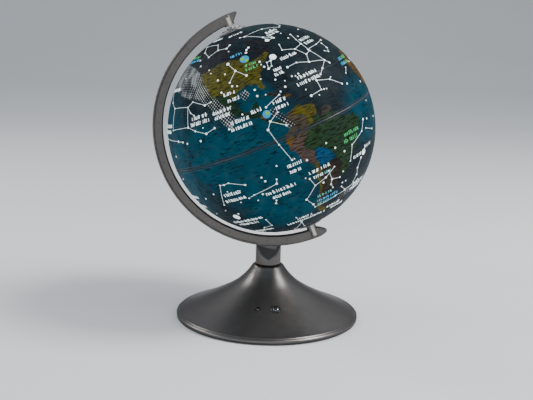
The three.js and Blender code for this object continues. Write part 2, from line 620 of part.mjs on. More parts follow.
// Points of a wire that runs up the neck, along the arm's channel, into the pivot tube and up to the lamp.
function lampWirePoints(side) {
  const off = side * 0.75;
  const onAxis = (x, z) => new THREE.Vector3(x, 0, z).applyMatrix4(globe.matrix).toArray();
  const channelR = (CHANNEL.r0 + CHANNEL.r1) / 2 + off;
  const first = NECK_ANGLE + 0.01;
  const last = Math.PI - 0.055;
  const along = [0, 0.2, 0.4, 0.6, 0.8, 1].map((t) => onAxis(...polar(channelR, first + (last - first) * t)));
  return [
    [off * 2.5, -47, 21.2], [off * 2, -36, 27.5], [off * 1.5, -14, 29], [off, -1, 34], [off, 0, 44], [off, 0, 64],
    [off, 0, 82], [off, 0, 86.5 - off * 2], ...along,
    onAxis(off - 1.4, -127 - off * 1.2), onAxis(off, -125.1 - off * 1.2), onAxis(off, -120), onAxis(off, -97),
    onAxis(off, -37), onAxis(off, -34.9),
  ];
}
add(stand, 'lamp_wire_red', wire(lampWirePoints(1), WIRE_R.lamp, 54, 5), redWire);
add(stand, 'lamp_wire_black', wire(lampWirePoints(-1), WIRE_R.lamp, 54, 5), blackWire);

function batteryWire(side) {
  return wire([
    [side * 27, BAY.y0 - 2.2, 12], [side * 26, BAY.y0 - 8, 13], [side * 20, -14, 14], [side * 10, -34, 15],
    [side * 6, -44, 15.2],
  ], WIRE_R.battery, 14, 5);
}
add(stand, 'battery_wire_red', batteryWire(1), redWire);
add(stand, 'battery_wire_black', batteryWire(-1), blackWire);

export default stand;
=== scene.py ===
"""A lit desktop globe with a printed map and star chart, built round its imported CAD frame."""

import json
import math
import random

import bmesh
import bpy
import numpy as np
from mathutils import Matrix, Vector


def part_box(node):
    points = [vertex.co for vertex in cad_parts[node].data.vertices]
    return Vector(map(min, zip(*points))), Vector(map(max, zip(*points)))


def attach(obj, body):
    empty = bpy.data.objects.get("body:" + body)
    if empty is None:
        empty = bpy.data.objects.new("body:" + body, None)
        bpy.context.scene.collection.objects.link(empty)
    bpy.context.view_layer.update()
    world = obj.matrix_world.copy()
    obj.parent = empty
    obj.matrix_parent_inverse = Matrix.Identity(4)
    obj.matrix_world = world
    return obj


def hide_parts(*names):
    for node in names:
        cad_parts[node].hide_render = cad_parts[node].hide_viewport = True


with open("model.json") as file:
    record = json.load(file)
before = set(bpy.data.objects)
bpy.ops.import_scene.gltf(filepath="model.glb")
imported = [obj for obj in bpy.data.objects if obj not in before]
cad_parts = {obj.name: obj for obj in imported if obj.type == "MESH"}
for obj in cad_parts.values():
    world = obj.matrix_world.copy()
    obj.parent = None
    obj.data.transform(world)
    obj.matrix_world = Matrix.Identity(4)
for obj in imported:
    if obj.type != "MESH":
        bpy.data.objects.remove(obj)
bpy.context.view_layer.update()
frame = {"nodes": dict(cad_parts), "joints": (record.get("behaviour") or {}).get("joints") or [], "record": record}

MM = 0.001

# ------------------------------------------------------------------ sizes, in millimetres unless said

SPIN = next(j for j in frame["joints"] if j["name"] == "globe_spin")
GLOBE = Matrix.Translation(Vector(SPIN["pos_m"]) / MM) @ Matrix.Rotation(
    math.atan2(SPIN["axis"][0], SPIN["axis"][2]), 4, "Y")  # +Z here is the globe's own axis
PRESS = next(j for j in frame["joints"] if j["name"] == "power_press")
BALL_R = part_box("north_hemisphere")[1].y / MM
BASE_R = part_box("base_shell")[1].x / MM

SKIN = BALL_R - 0.2  # the printed surface, with the glowing marks standing on it
MARK_TOP = BALL_R - 0.05

ARM_INNER_R = 122.8
ARM_OUTER_R = 134
ARM_SHIFT = 2.4  # the arm's arc is centred this far off the axis
ARM_HALF = 4.5

PANEL_Y = -58.7
PANEL_Z = 25.811
SENSOR_X = -11.6
BUTTON_X = 8.4

# ------------------------------------------------------------------ camera

def new_object(name, data):
    made = bpy.data.objects.new(name, data)
    bpy.context.collection.objects.link(made)
    return made


CAMERA_PLACE = Vector((-21.97, -986.72, 330.91))
CAMERA_LOOK = Vector((0.01827, 0.98066, -0.19486))
CAMERA_ROLL = math.radians(1.48)
CAMERA_LENS = 60.2


def make_camera():
    data = bpy.data.cameras.new("camera")
    data.lens = CAMERA_LENS
    data.clip_end = 20
    camera = new_object("camera", data)
    turn = CAMERA_LOOK.to_track_quat("-Z", "Y").to_matrix().to_4x4()
    camera.matrix_world = Matrix.Translation(CAMERA_PLACE * MM) @ turn @ Matrix.Rotation(CAMERA_ROLL, 4, "Z")
    bpy.context.scene.camera = camera


make_camera()

# ------------------------------------------------------------------ colours

def linear(*rgb):
    """An sRGB colour given as 0..255, as the linear colour that shaders take."""
    return tuple(((c / 255 + 0.055) / 1.055) ** 2.4 if c > 10 else c / 255 / 12.92 for c in rgb)


# ------------------------------------------------------------------ material helpers

class Nodes:
    """Builds one material's node tree with short calls."""

    def __init__(self, name):
        self.material = bpy.data.materials.new(name)
        self.material.use_nodes = True
        self.tree = self.material.node_tree
        self.shader = self.tree.nodes["Principled BSDF"]

    def add(self, kind, **settings):
        node = self.tree.nodes.new(kind)
        for key, value in settings.items():
            setattr(node, key, value)
        return node

    def link(self, source, target):
        self.tree.links.new(source, target)

    def put(self, **sockets):
        for key, value in sockets.items():
            self.shader.inputs[key.replace("_", " ").title().replace("Ior", "IOR")].default_value = value

    def into(self, socket, source):
        self.link(source, self.shader.inputs[socket])

    def attribute(self, name, output):
        return self.add("ShaderNodeAttribute", attribute_name=name).outputs[output]

    def place(self):
        """Object coordinates in millimetres."""
        coordinates = self.add("ShaderNodeTexCoord")
        scaled = self.add("ShaderNodeVectorMath", operation="SCALE")
        scaled.inputs["Scale"].default_value = 1 / MM
        self.link(coordinates.outputs["Object"], scaled.inputs[0])
        return scaled.outputs[0]

    def noise(self, size, detail=2.0, where=None, stretch=None):
        """Smooth noise whose blobs are about size millimetres across."""
        node = self.add("ShaderNodeTexNoise")
        node.inputs["Scale"].default_value = 1 / size
        node.inputs["Detail"].default_value = detail
        where = where or self.place()
        if stretch:
            mapping = self.add("ShaderNodeMapping")
            mapping.inputs["Scale"].default_value = stretch
            self.link(where, mapping.inputs["Vector"])
            where = mapping.outputs["Vector"]
        self.link(where, node.inputs["Vector"])
        return node.outputs["Fac"]

    def spread(self, source, low, high, from_low=0.3, from_high=0.7):
        node = self.add("ShaderNodeMapRange")
        for socket, value in zip(node.inputs[1:5], (from_low, from_high, low, high)):
            socket.default_value = value
        self.link(source, node.inputs[0])
        return node.outputs[0]

    def mix(self, factor, a, b, blend="MIX"):
        """Mixes two colours, each a colour value or a socket."""
        node = self.add("ShaderNodeMix", data_type="RGBA", blend_type=blend)
        for socket, value in zip((node.inputs[0], node.inputs[6], node.inputs[7]), (factor, a, b)):
            if isinstance(value, bpy.types.NodeSocket):
                self.link(value, socket)
            else:
                socket.default_value = value if isinstance(value, float) else (*value[:3], 1)
        return node.outputs[2]

    def maths(self, operation, a, b=None):
        node = self.add("ShaderNodeMath", operation=operation)
        for socket, value in zip(node.inputs, (a, b)):
            if isinstance(value, bpy.types.NodeSocket):
                self.link(value, socket)
            elif value is not None:
                socket.default_value = value
        return node.outputs[0]

    def bump(self, source, height):
        """Raises the surface by source times height in millimetres."""
        node = self.add("ShaderNodeBump")
        node.inputs["Distance"].default_value = height * MM
        self.link(source, node.inputs["Height"])
        self.into("Normal", node.outputs["Normal"])


def plain(name, color, roughness, metallic=0.0, grain=0.5, grain_height=0.02, shade=0.12, rough_shade=0.08):
    """A moulded, painted or plated surface: faint colour mottling, uneven gloss and a fine grain."""
    m = Nodes(name)
    m.put(metallic=metallic)
    mottle = m.noise(9.0, 4.0)
    dark = tuple(c * (1 - shade) for c in color)
    light = tuple(min(1.0, c * (1 + shade)) for c in color)
    m.into("Base Color", m.mix(m.spread(mottle, 0.0, 1.0), dark, light))
    m.into("Roughness", m.spread(m.noise(3.0, 5.0), roughness - rough_shade, roughness + rough_shade))
    m.bump(m.noise(grain, 2.0), grain_height)
    return m.material


def gunmetal_paint():
    """Dark satin metallic paint: fine flake, cloudy gloss, and a lighter line painted along edges as an edge
    highlight.
    """
    m = Nodes("gunmetal_paint")
    m.put(metallic=0.88, specular_tint=(0.62, 0.60, 0.60, 1))
    flake = m.noise(0.35, 1.0)
    cloud = m.noise(28.0, 3.0)
    base = m.mix(m.spread(cloud, 0.0, 1.0), linear(88, 85, 84), linear(97, 94, 91))
    base = m.mix(m.spread(flake, 0.0, 0.3), base, linear(128, 124, 121))
    geometry = m.add("ShaderNodeNewGeometry")
    # Painted highlight: sharp convex edges are lightened to stand in for the bright edge lines that light makes
    # along them.
    edge_highlight = m.spread(geometry.outputs["Pointiness"], 0.0, 0.5, 0.56, 0.68)
    m.into("Base Color", m.mix(edge_highlight, base, linear(180, 176, 170)))
    m.into("Roughness", m.spread(m.noise(6.0, 3.0), 0.31, 0.36))
    m.bump(m.noise(0.7, 2.0), 0.008)
    return m.material


def drawn_metal(name, size, stretch, dark, light, roughness):
    """Bare metal with fine drawn or turned lines; roughness is a (low, high) pair."""
    m = Nodes(name)
    m.put(metallic=1.0)
    lines = m.noise(size, 3.0, stretch=(1.0, 1.0, stretch))
    m.into("Base Color", m.mix(lines, dark, light))
    m.into("Roughness", m.spread(lines, *roughness))
    m.bump(lines, 0.01)
    return m.material


def cell_sleeve():
    """A plain battery sleeve: dark along most of the cell with a copper-coloured band."""
    m = Nodes("cell_sleeve")
    m.put(metallic=0.3, roughness=0.32)
    along = m.add("ShaderNodeSeparateXYZ")
    m.link(m.place(), along.inputs[0])
    band = m.spread(along.outputs["X"], 0.0, 1.0, 9.8, 10.2)
    print_noise = m.noise(2.0, 3.0)
    dark = m.mix(print_noise, linear(34, 38, 44), linear(50, 55, 62))
    m.into("Base Color", m.mix(band, dark, linear(168, 112, 70)))
    m.bump(print_noise, 0.01)
    return m.material


def circuit_board():
    """Green solder mask with paler copper runs under it."""
    m = Nodes("circuit_board")
    runs = m.add("ShaderNodeTexBrick")
    runs.inputs["Scale"].default_value = 0.35
    runs.inputs["Mortar Size"].default_value = 0.06
    m.link(m.place(), runs.inputs["Vector"])
    m.into("Base Color", m.mix(runs.outputs["Fac"], linear(28, 84, 52), linear(60, 128, 78)))
    m.put(roughness=0.38)
    m.bump(runs.outputs["Fac"], 0.03)
    return m.material


def hazy(name, size, detail, dark, light, roughness, **settings):
    """A smooth surface with faint finger haze; roughness is a (low, high) pair."""
    m = Nodes(name)
    m.put(**settings)
    haze = m.noise(size, detail)
    m.into("Base Color", m.mix(haze, dark, light))
    m.into("Roughness", m.spread(haze, *roughness))
    return m.material


def glow(name, color, strength):
    """Ink that the lamp shines through: bright, and a little uneven."""
    m = Nodes(name)
    patch = m.noise(2.5, 3.0)
    tint = m.mix(patch, tuple(c * 0.88 for c in color), color)
    m.into("Base Color", tint)
    m.into("Emission Color", tint)
    m.put(emission_strength=strength, roughness=0.45)
    return m.material


# Light drawn metal for the strips on the pivot bosses, which paint in the highlight that the bosses show.
BOSS_HIGHLIGHT_METAL = drawn_metal("boss_highlight_metal", 0.8, 6.0, linear(176, 173, 168), linear(204, 201, 196), (0.2, 0.32))
SMOKED = hazy("smoked_plastic", 1.5, 2.0, linear(12, 12, 15), linear(22, 22, 26), (0.06, 0.14),
              ior=1.49, coat_weight=0.4, coat_roughness=0.04)
MATERIALS = {
    "gunmetal": gunmetal_paint(),
    "dark_plastic": plain("dark_plastic", linear(44, 45, 48), 0.56, grain=0.6, grain_height=0.05),
    "black_plastic": plain("black_plastic", linear(14, 14, 16), 0.26, grain_height=0.006),
    "white_plastic": plain("white_plastic", linear(226, 223, 214), 0.42),
    "dial_plastic": plain(
        "dial_paint", linear(118, 117, 118), 0.34, metallic=0.65, grain=0.4, grain_height=0.008),
    "rubber": plain("rubber_pad", linear(26, 26, 27), 0.82, grain=0.5, grain_height=0.06, shade=0.2),
    "steel": drawn_metal("plated_steel", 0.6, 9.0, linear(170, 172, 176), linear(206, 207, 210), (0.22, 0.4)),
    "brass": plain("brass_plate", linear(190, 150, 84), 0.3, metallic=1.0),
    "board_green": circuit_board(),
    "clear_lens": hazy("clear_plastic", 2.0, 2.0, linear(214, 220, 222), linear(232, 236, 238), (0.03, 0.09),
                       transmission_weight=0.85, ior=1.49),
    "frosted": glow("frosted_diffuser", linear(240, 238, 228), 1.5),
    "gloss_button": hazy("glossy_dome", 1.6, 4.0, linear(96, 97, 102), linear(116, 117, 122), (0.05, 0.14),
                         metallic=0.9),
    "cell_wrap": cell_sleeve(),
    "red_wire": plain("red_insulation", linear(150, 34, 28), 0.46),
    "black_wire": plain("black_insulation", linear(22, 22, 24), 0.46),
}

# ------------------------------------------------------------------ mesh helpers

SAME_POINT = 1e-7  # metres
TINY_EDGE = 2e-6  # metres
ON_AXIS = 1e-6  # millimetres


def new_piece(name, body, slot, replaces=(), material=None):
    """An empty mesh object, already riding on its body and standing for its CAD nodes."""
    piece = new_object(name, bpy.data.meshes.new(name))
    piece.data.materials.append(material or MATERIALS[slot])
    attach(piece, body)
    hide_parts(*replaces)
    return piece


class Solids:
    """Gathers closed solids for one mesh."""

    def __init__(self):
        self.vertices, self.faces = [], []

    def add(self, vertices, faces):
        self.faces += [tuple(k + len(self.vertices) for k in face) for face in faces]
        self.vertices += vertices

    def piece(self, name, body, slot, material=None, smooth=False):
        piece = new_piece(name, body, slot, material=material)
        return fill(piece, self.vertices, self.faces, smooth)


def fill(piece, vertices, faces, smooth=True):
    """Gives a piece its mesh from millimetre vertices."""
    piece.data.from_pydata([Vector(v) * MM for v in vertices], [], faces)
    tidy(piece, smooth)
    return piece


def tidy(piece, smooth=True):
    """Merges doubled points and turns every face outwards."""
    mesh = bmesh.new()
    mesh.from_mesh(piece.data)
    bmesh.ops.remove_doubles(mesh, verts=mesh.verts, dist=SAME_POINT)
    bmesh.ops.recalc_face_normals(mesh, faces=mesh.faces)
    if mesh.calc_volume(signed=True) < 0:
        bmesh.ops.reverse_faces(mesh, faces=mesh.faces)
    mesh.to_mesh(piece.data)
    mesh.free()
    piece.data.shade_smooth() if smooth else piece.data.shade_flat()


def sharpen(piece, degrees=32):
    piece.data.set_sharp_from_angle(angle=math.radians(degrees))
    return piece


def apply_modifiers(piece):
    graph = bpy.context.evaluated_depsgraph_get()
    done = bpy.data.meshes.new_from_object(piece.evaluated_get(graph))
    piece.modifiers.clear()
    piece.data = done


def carve(piece, cutters, operation="DIFFERENCE"):
    """Cuts a piece with closed solids, then throws the solids away."""
    for tool in cutters:
        modifier = piece.modifiers.new("cut", "BOOLEAN")
        modifier.operation = operation
        modifier.solver = "EXACT"
        modifier.object = tool
    apply_modifiers(piece)
    for tool in cutters:
        bpy.data.objects.remove(tool)
    return piece


def round_edges(piece, width, degrees=35, segments=3):
    modifier = piece.modifiers.new("round", "BEVEL")
    modifier.width = width * MM
    modifier.segments = segments
    modifier.limit_method = "ANGLE"
    modifier.angle_limit = math.radians(degrees)
    modifier.harden_normals = False
    apply_modifiers(piece)
    mesh = bmesh.new()
    mesh.from_mesh(piece.data)
    bmesh.ops.remove_doubles(mesh, verts=mesh.verts, dist=TINY_EDGE)
    bmesh.ops.dissolve_degenerate(mesh, edges=mesh.edges, dist=TINY_EDGE)
    mesh.to_mesh(piece.data)
    mesh.free()
    return piece


def corner(before, point, after, radius, steps=5):
    """Points of a curve that rounds one corner of an outline."""
    knee = Vector(point)
    a, b = Vector(before) - knee, Vector(after) - knee
    reach = min(radius / math.tan(a.angle(b) / 2), 0.45 * a.length, 0.45 * b.length)
    start, end = knee + a.normalized() * reach, knee + b.normalized() * reach
    return [start.lerp(knee, t).lerp(knee.lerp(end, t), t) for t in (i / steps for i in range(steps + 1))]


def rounded(outline):
    """An outline of (r, z) or (r, z, corner radius) points with its corners rounded."""
    points = []
    for i, p in enumerate(outline):
        if len(p) == 2:
            points.append(p)
        else:
            before, after = outline[i - 1][:2], outline[(i + 1) % len(outline)][:2]
            points += [tuple(v) for v in corner(before, p[:2], after, p[2])]
    return points


def turned(outline, segments=96, place=Matrix.Identity(4)):
    """Vertices and faces of a closed (r, z) outline turned about +Z of a place."""
    points = rounded(outline)
    rings, vertices, faces = [], [], []
    for r, z in points:
        if r < ON_AXIS:
            rings.append([len(vertices)] * segments)
            vertices.append(place @ Vector((0, 0, z)))
            continue
        rings.append(list(range(len(vertices), len(vertices) + segments)))
        for k in range(segments):
            a = 2 * math.pi * k / segments
            vertices.append(place @ Vector((r * math.cos(a), r * math.sin(a), z)))
    count = len(rings) if points[0][0] > ON_AXIS else len(rings) - 1
    for i in range(count):
        low, high = rings[i], rings[(i + 1) % len(rings)]
        for k in range(segments):
            n = (k + 1) % segments
            face = [low[k], low[n], high[n], high[k]]
            face = [v for j, v in enumerate(face) if v != face[j - 1]]
            if len(face) > 2:
                faces.append(face)
    return vertices, faces


def turned_piece(name, body, slot, outline, segments=96, place=Matrix.Identity(4), replaces=(),
                 material=None):
    piece = new_piece(name, body, slot, replaces, material)
    fill(piece, *turned(outline, segments, place))
    return sharpen(piece)


def cutter(vertices, faces):
    """A throw-away solid for carve."""
    mesh = bpy.data.meshes.new("cutter")
    mesh.from_pydata([Vector(v) * MM for v in vertices], [], faces)
    tool = new_object("cutter", mesh)
    tool.hide_render = True
    tidy(tool, smooth=False)
    return tool


def drum(r, z0, z1, place=Matrix.Identity(4), segments=48):
    return cutter(*turned([(0, z0), (r, z0), (r, z1), (0, z1)], segments, place))


def block(low, high, place=Matrix.Identity(4)):
    corners = [place @ Vector((x, y, z)) for z in (low[2], high[2]) for y in (low[1], high[1])
               for x in (low[0], high[0])]
    faces = [(0, 2, 3, 1), (4, 5, 7, 6), (0, 1, 5, 4), (2, 6, 7, 3), (0, 4, 6, 2), (1, 3, 7, 5)]
    return cutter(corners, faces)


def prism(outline, z0, z1, place=Matrix.Identity(4)):
    """A closed (x, y) outline stood up between two heights of a place."""
    n = len(outline)
    vertices = [place @ Vector((x, y, z)) for z in (z0, z1) for x, y in outline]
    sides = [(i, (i + 1) % n, n + (i + 1) % n, n + i) for i in range(n)]
    return vertices, [tuple(reversed(range(n))), tuple(range(n, 2 * n)), *sides]


def lofted(sections):
    """Joins closed sections, each a list of points, with quads and flat ends."""
    n = len(sections[0])
    vertices = [p for section in sections for p in section]
    faces = [(i * n + k, i * n + (k + 1) % n, (i + 1) * n + (k + 1) % n, (i + 1) * n + k)
             for i in range(len(sections) - 1) for k in range(n)]
    faces += [tuple(reversed(range(n))), tuple(range(len(vertices) - n, len(vertices)))]
    return vertices, faces


def smooth_curve(points, steps):
    """A Catmull-Rom curve through the points."""
    ends = [tuple(2 * a - b for a, b in zip(points[0], points[1])), *points,
            tuple(2 * a - b for a, b in zip(points[-1], points[-2]))]
    curve = []
    for p0, p1, p2, p3 in zip(ends, ends[1:], ends[2:], ends[3:]):
        for k in range(steps):
            t = k / steps
            curve.append(tuple(
                0.5 * (2 * b + (c - a) * t + (2 * a - 5 * b + 4 * c - d) * t ** 2
                       + (3 * b - a - 3 * c + d) * t ** 3)
                for a, b, c, d in zip(p0, p1, p2, p3)))
    return curve + [points[-1]]


# ------------------------------------------------------------------ base

SOCKET_R = 11.4
SOCKET_FLOOR = 38.3
PANEL = Matrix.Translation((0, PANEL_Y, PANEL_Z)) @ Matrix.Rotation(
    math.atan2(-PRESS["axis"][1], -PRESS["axis"][2]) * -1, 4, "X")  # +Z here stands out of the flank
BUTTON_PLACE = PANEL @ Matrix.Translation((BUTTON_X, 0, 0))
SENSOR_PLACE = PANEL @ Matrix.Translation((SENSOR_X, 0, 0))

FLANK = [(17.6, 60.1), (21, 55.2), (26.5, 48.4), (35, 40.4), (47, 32.3), (62, 24.1), (80, 15.3), (94, 9.1),
         (99.5, 6.9)]


def base_shell():
    flank = smooth_curve(FLANK, 6)
    inside = [(r - 0.9, z - 2.1) for r, z in flank[4::4]]
    outline = [
        (SOCKET_R, 61, 0.4), (16.2, 61, 0.7), *flank, (100.4, 6.75, 0.3), (101.1, 6.05, 0.3),
        (102.6, 5.7, 0.8), (BASE_R, 4.6, 0.9), (BASE_R, 2.6, 0.4), (BASE_R - 1.6, 2.4),
        (BASE_R - 2.2, 3.6), *reversed(inside), (14.4, 54), (14.4, SOCKET_FLOOR), (SOCKET_R, SOCKET_FLOOR),
    ]
    shell = turned_piece("base_shell_painted", "stand", "gunmetal", outline, 192, replaces=["base_shell"])
    carve(shell, [
        drum(4.6, -7, 3, BUTTON_PLACE), drum(5.6, -1, 3, BUTTON_PLACE), drum(2.85, -7, 3, SENSOR_PLACE),
    ])
    shell.data.shade_smooth()
    sharpen(shell, 30)


base_shell()

turned_piece("power_button_dome", "button", "gloss_button", [
    (0, -5.4), (1.5, -5.4), (1.5, -4.1), (4.3, -4.1), (4.3, -3.1), (3.6, -3.1), (3.6, 0.1, 0.5), (3.3, 0.7),
    (2.75, 1.05), (2.0, 1.3), (1.0, 1.46), (0, 1.5)], 64, BUTTON_PLACE, ["power_button"])
turned_piece("button_bezel_ring", "stand", "black_plastic", [
    (3.9, -2.8), (4.3, -2.8), (4.3, -0.7), (5.3, -0.7), (5.3, -0.1, 0.15), (4.7, 0.3, 0.2), (4.1, 0.25, 0.15),
    (3.9, -0.1)], 64, BUTTON_PLACE, ["button_bezel"])
turned_piece("sensor_window", "stand", "clear_lens", [
    (0, -3.8), (3.5, -3.8), (3.5, -3.3), (2.5, -3.3), (2.5, -0.5, 0.2), (1.9, -0.45), (1.5, -0.25, 0.2),
    (1.2, 0.05), (0.7, 0.22), (0, 0.28)], 48, SENSOR_PLACE, ["sensor_lens"], SMOKED)

# ------------------------------------------------------------------ underside


def middle(box):
    return (box[0] + box[1]) / 2 / MM


FOOT_NAMES = ["foot_1", "foot_2", "foot_3", "foot_4", "foot_centre"]
FOOT_SPOTS = [middle(box) for box in [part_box(f"foot_{i}") for i in (1, 2, 3, 4)] + [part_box("foot_centre")]]
SCREW_SPOTS = [middle(box) for box in [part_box(f"base_screw_{i}") for i in (1, 2, 3, 4)]]
DOOR_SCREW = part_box("battery_door_screw")
MODE_SPOT = middle(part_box("mode_switch_knob"))

BAY_HALF = 27.4
BAY_FRONT, BAY_BACK = 12, 58.6
BAY_WALL = 1.2


def door_outline(clear):
    """The battery door's outline, drawn in by a clearance."""
    x, tab, y0, y1, end = BAY_HALF - clear, 6 - clear, BAY_FRONT + clear, BAY_BACK - clear, 68 - clear
    corners = [(-x, y0, 1.5), (x, y0, 1.5), (x, y1, 1.5), (tab, y1, 0.6), (tab, end, 2), (-tab, end, 2),
               (-tab, y1, 0.6), (-x, y1, 1.5)]
    return rounded(corners)


def bottom_plate():
    plate = turned_piece("bottom_plate_moulded", "stand", "dark_plastic", [
        (0, 0.9), (40, 0.9), (40.4, 1.3), (41.6, 1.3), (42, 0.9), (76, 0.9), (76.4, 1.3), (77.6, 1.3),
        (78, 0.9), (103.7, 0.9, 0.5), (103.7, 2.1), (101.2, 2.1), (101.2, 3.4), (99.2, 3.4), (99.2, 2.9),
        (0, 2.9),
    ], 144, replaces=["bottom_plate"])
    tools = [cutter(*prism(door_outline(0), 0, 2.4))]
    for spots, radius, depth in ((SCREW_SPOTS, 3.3, 2.6), (FOOT_SPOTS, 6.3, 2.2)):
        tools += [drum(radius, 0, depth, Matrix.Translation((s.x, s.y, 0))) for s in spots]
    x, y = MODE_SPOT.xy
    tools.append(block((x - 6.4, y - 2.6, 0), (x + 6.4, y + 2.6, 3.2)))
    carve(plate, tools)
    plate.data.shade_smooth()
    sharpen(plate, 30)


def battery_box():
    """The walls that stand round the cells inside the base."""
    box = new_piece("battery_box", "stand", "dark_plastic")
    x, front, back = BAY_HALF + BAY_WALL, BAY_FRONT - BAY_WALL, BAY_BACK + BAY_WALL
    fill(box, *prism([(-x, front), (x, front), (x, back), (-x, back)], 3.1, 18.7), smooth=False)
    carve(box, [block((-BAY_HALF, BAY_FRONT, 2), (BAY_HALF, BAY_BACK, 17.5))])
    round_edges(box, 0.4)


def battery_door():
    """The door with its chamfered lower edge, six grip grooves and a stepped screw hole."""
    door = new_piece("battery_door_moulded", "stand", "dark_plastic", ["battery_door"])
    fill(door, *lofted([[Vector((x, y, z)) for x, y in door_outline(clear)] for clear, z in (
        (0.45, 0.9), (0.3, 1.05), (0.3, 2.1))]), smooth=False)
    centre = Matrix.Translation((0, middle(DOOR_SCREW).y, 0))
    grips = [block((-14, 18 + 2.4 * i, 0), (14, 19.1 + 2.4 * i, 1.35)) for i in range(6)]
    stepped = cutter(*turned([(0, 0), (3.4, 0), (3.4, 1.5), (1.9, 1.5), (1.9, 4), (0, 4)], 48, centre))
    carve(door, [stepped, *grips])


def screw_piece(name, node, place, head_r, head_h, shank_r, length):
    """A cross-recessed screw. Its head's underside is at the place's height 0 and its shank points up."""
    piece = turned_piece(name, "stand", "steel", [
        (0, -head_h), (head_r * 0.7, -head_h, 0.3), (head_r, -head_h * 0.45, 0.3), (head_r, 0), (shank_r, 0),
        (shank_r, length - shank_r), (0, length)], 40, place, [node])
    arm, depth = head_r * 0.56, head_h * 0.6
    slot = head_r * 0.11
    carve(piece, [block((-x, -y, -head_h - 1), (x, y, depth - head_h), place)
                  for x, y in ((arm, slot), (slot, arm))])
    piece.data.shade_smooth()
    sharpen(piece)


bottom_plate()
battery_box()
battery_door()
for index, at in enumerate(SCREW_SPOTS, 1):
    screw_piece(f"base_screw_{index}_cross", f"base_screw_{index}",
                Matrix.Translation((at.x, at.y, 2.7)) @ Matrix.Rotation(index, 4, "Z"), 2.9, 1.6, 1.35, 7)
screw_piece("battery_door_screw_cross", "battery_door_screw",
            Matrix.Translation((0, middle(DOOR_SCREW).y, DOOR_SCREW[0].z / MM + 0.5)), 2.8, 0.5, 1.2, 5)
for foot_name, at in zip(FOOT_NAMES, FOOT_SPOTS):
    turned_piece(f"{foot_name}_pad", "stand", "rubber", [
        (0, 0), (4.4, 0), (4.6, 0.25), (4.9, 0.25), (5.1, 0), (6, 0, 0.5), (6, 1.9), (0, 1.9)], 48,
        Matrix.Translation((at.x, at.y, 0)), [foot_name])


def mode_knob():
    knob = new_piece("mode_knob_ribbed", "mode_knob", "black_plastic", ["mode_switch_knob"])
    half = [(0.3, 0.92), (0.3, 1.1), (0.8, 1.1), (0.8, 0.92), (1.4, 0.92), (1.4, 1.1), (2, 1.1), (2, 2.1)]
    teeth = [(-x, z) for x, z in reversed(half)] + half + [(2, 3.0), (-2, 3.0)]
    across = Matrix.Translation((MODE_SPOT.x, MODE_SPOT.y + 2, 0)) @ Matrix.Rotation(math.radians(90), 4, "X")
    fill(knob, *prism(teeth, 0, 4, across), smooth=False)
    round_edges(knob, 0.07, segments=2)


mode_knob()

# ------------------------------------------------------------------ meridian arm

def on_arm(r, a, y=0.0):
    """A point at a radius and an angle from the top of the arm's arc, round its left side."""
    return GLOBE @ Vector((ARM_SHIFT - r * math.sin(a), y, r * math.cos(a)))


# How far each end runs past the axis, at radii from the inner edge to the outer one.
TOP_END = [(ARM_INNER_R, 4.4), (124.5, 6), (127, 8.2), (129.5, 10.4), (131.3, 11.9), (132.6, 12.5),
           (133.5, 11.9), (ARM_OUTER_R, 10.2)]
LOW_END = [(ARM_INNER_R, 6.2), (125, 9.7), (127.5, 12.9), (129.5, 14.9), (131, 15.4), (132.3, 14.1),
           (133.4, 10), (ARM_OUTER_R, 4.5)]
FLAT_Y = 4.25  # the flat face lies a little behind the rim
GROOVE_START, GROOVE_END = 131.1, 132.1


def arm_section(groove):
    """(radius, y) points round the arm's section; groove runs from 0, none, to 1, full depth."""
    floor = FLAT_Y - 0.75 * groove
    rim = ARM_HALF
    face = [
        (ARM_INNER_R, 3.3), (122.93, 3.75), (123.25, 4.1), (123.8, FLAT_Y), (124.4, FLAT_Y), (126, FLAT_Y),
        (129, FLAT_Y), (GROOVE_START - 0.75, FLAT_Y), (GROOVE_START - 0.15, FLAT_Y),
        (GROOVE_START + 0.05, floor + 0.15 * groove), (GROOVE_START + 0.3, floor), (GROOVE_END - 0.3, floor),
        (GROOVE_END - 0.05, floor + 0.15 * groove), (GROOVE_END + 0.1, rim - 0.1 * groove),
        (GROOVE_END + 0.35, rim), (133.2, rim), (133.62, rim - 0.2), (133.87, rim - 0.6), (133.95, rim - 1.1),
    ]
    return [(r, -y) for r, y in face] + [(r, y) for r, y in reversed(face)]


def past(end, r):
    """The angle by which an end runs past the arc's top or bottom at a radius."""
    reach = float(np.interp(r, *zip(*end))) - 0.05
    return math.asin((reach - ARM_SHIFT) / r)


def arm_blade():
    """The arc of the arm, thinned over its last millimetre, with a groove that fades out near each end."""
    sections = []
    steps = 240
    insets = [(0.0, 0.72), (0.12, 0.86), (0.4, 0.96), (0.9, 1.0)]  # millimetres from the end, thickness
    length = math.pi * ARM_OUTER_R
    spans = [inset / length for inset, _ in insets] + [0.5 / steps + i / steps for i in range(1, steps - 1)]
    spans += [1 - inset / length for inset, _ in reversed(insets)]
    for index, t in enumerate(spans):
        from_end = min(index, len(spans) - 1 - index)
        thick = insets[from_end][1] if from_end < len(insets) else 1.0
        # No groove over the first 13% and the last 10% of the arc.
        fade = min(1.0, max(0.0, (t - 0.13) / 0.03)) * min(1.0, max(0.0, (0.90 - t) / 0.05))
        ring = []
        for r, y in arm_section(fade):
            first, last = -past(TOP_END, r), math.pi + past(LOW_END, r)
            ring.append(on_arm(r, first + (last - first) * t, y * thick))
        sections.append(ring)
    blade = new_piece("arm_blade", "stand", "gunmetal", ["meridian_arm"])
    fill(blade, *lofted(sections))
    sharpen(blade, 34)


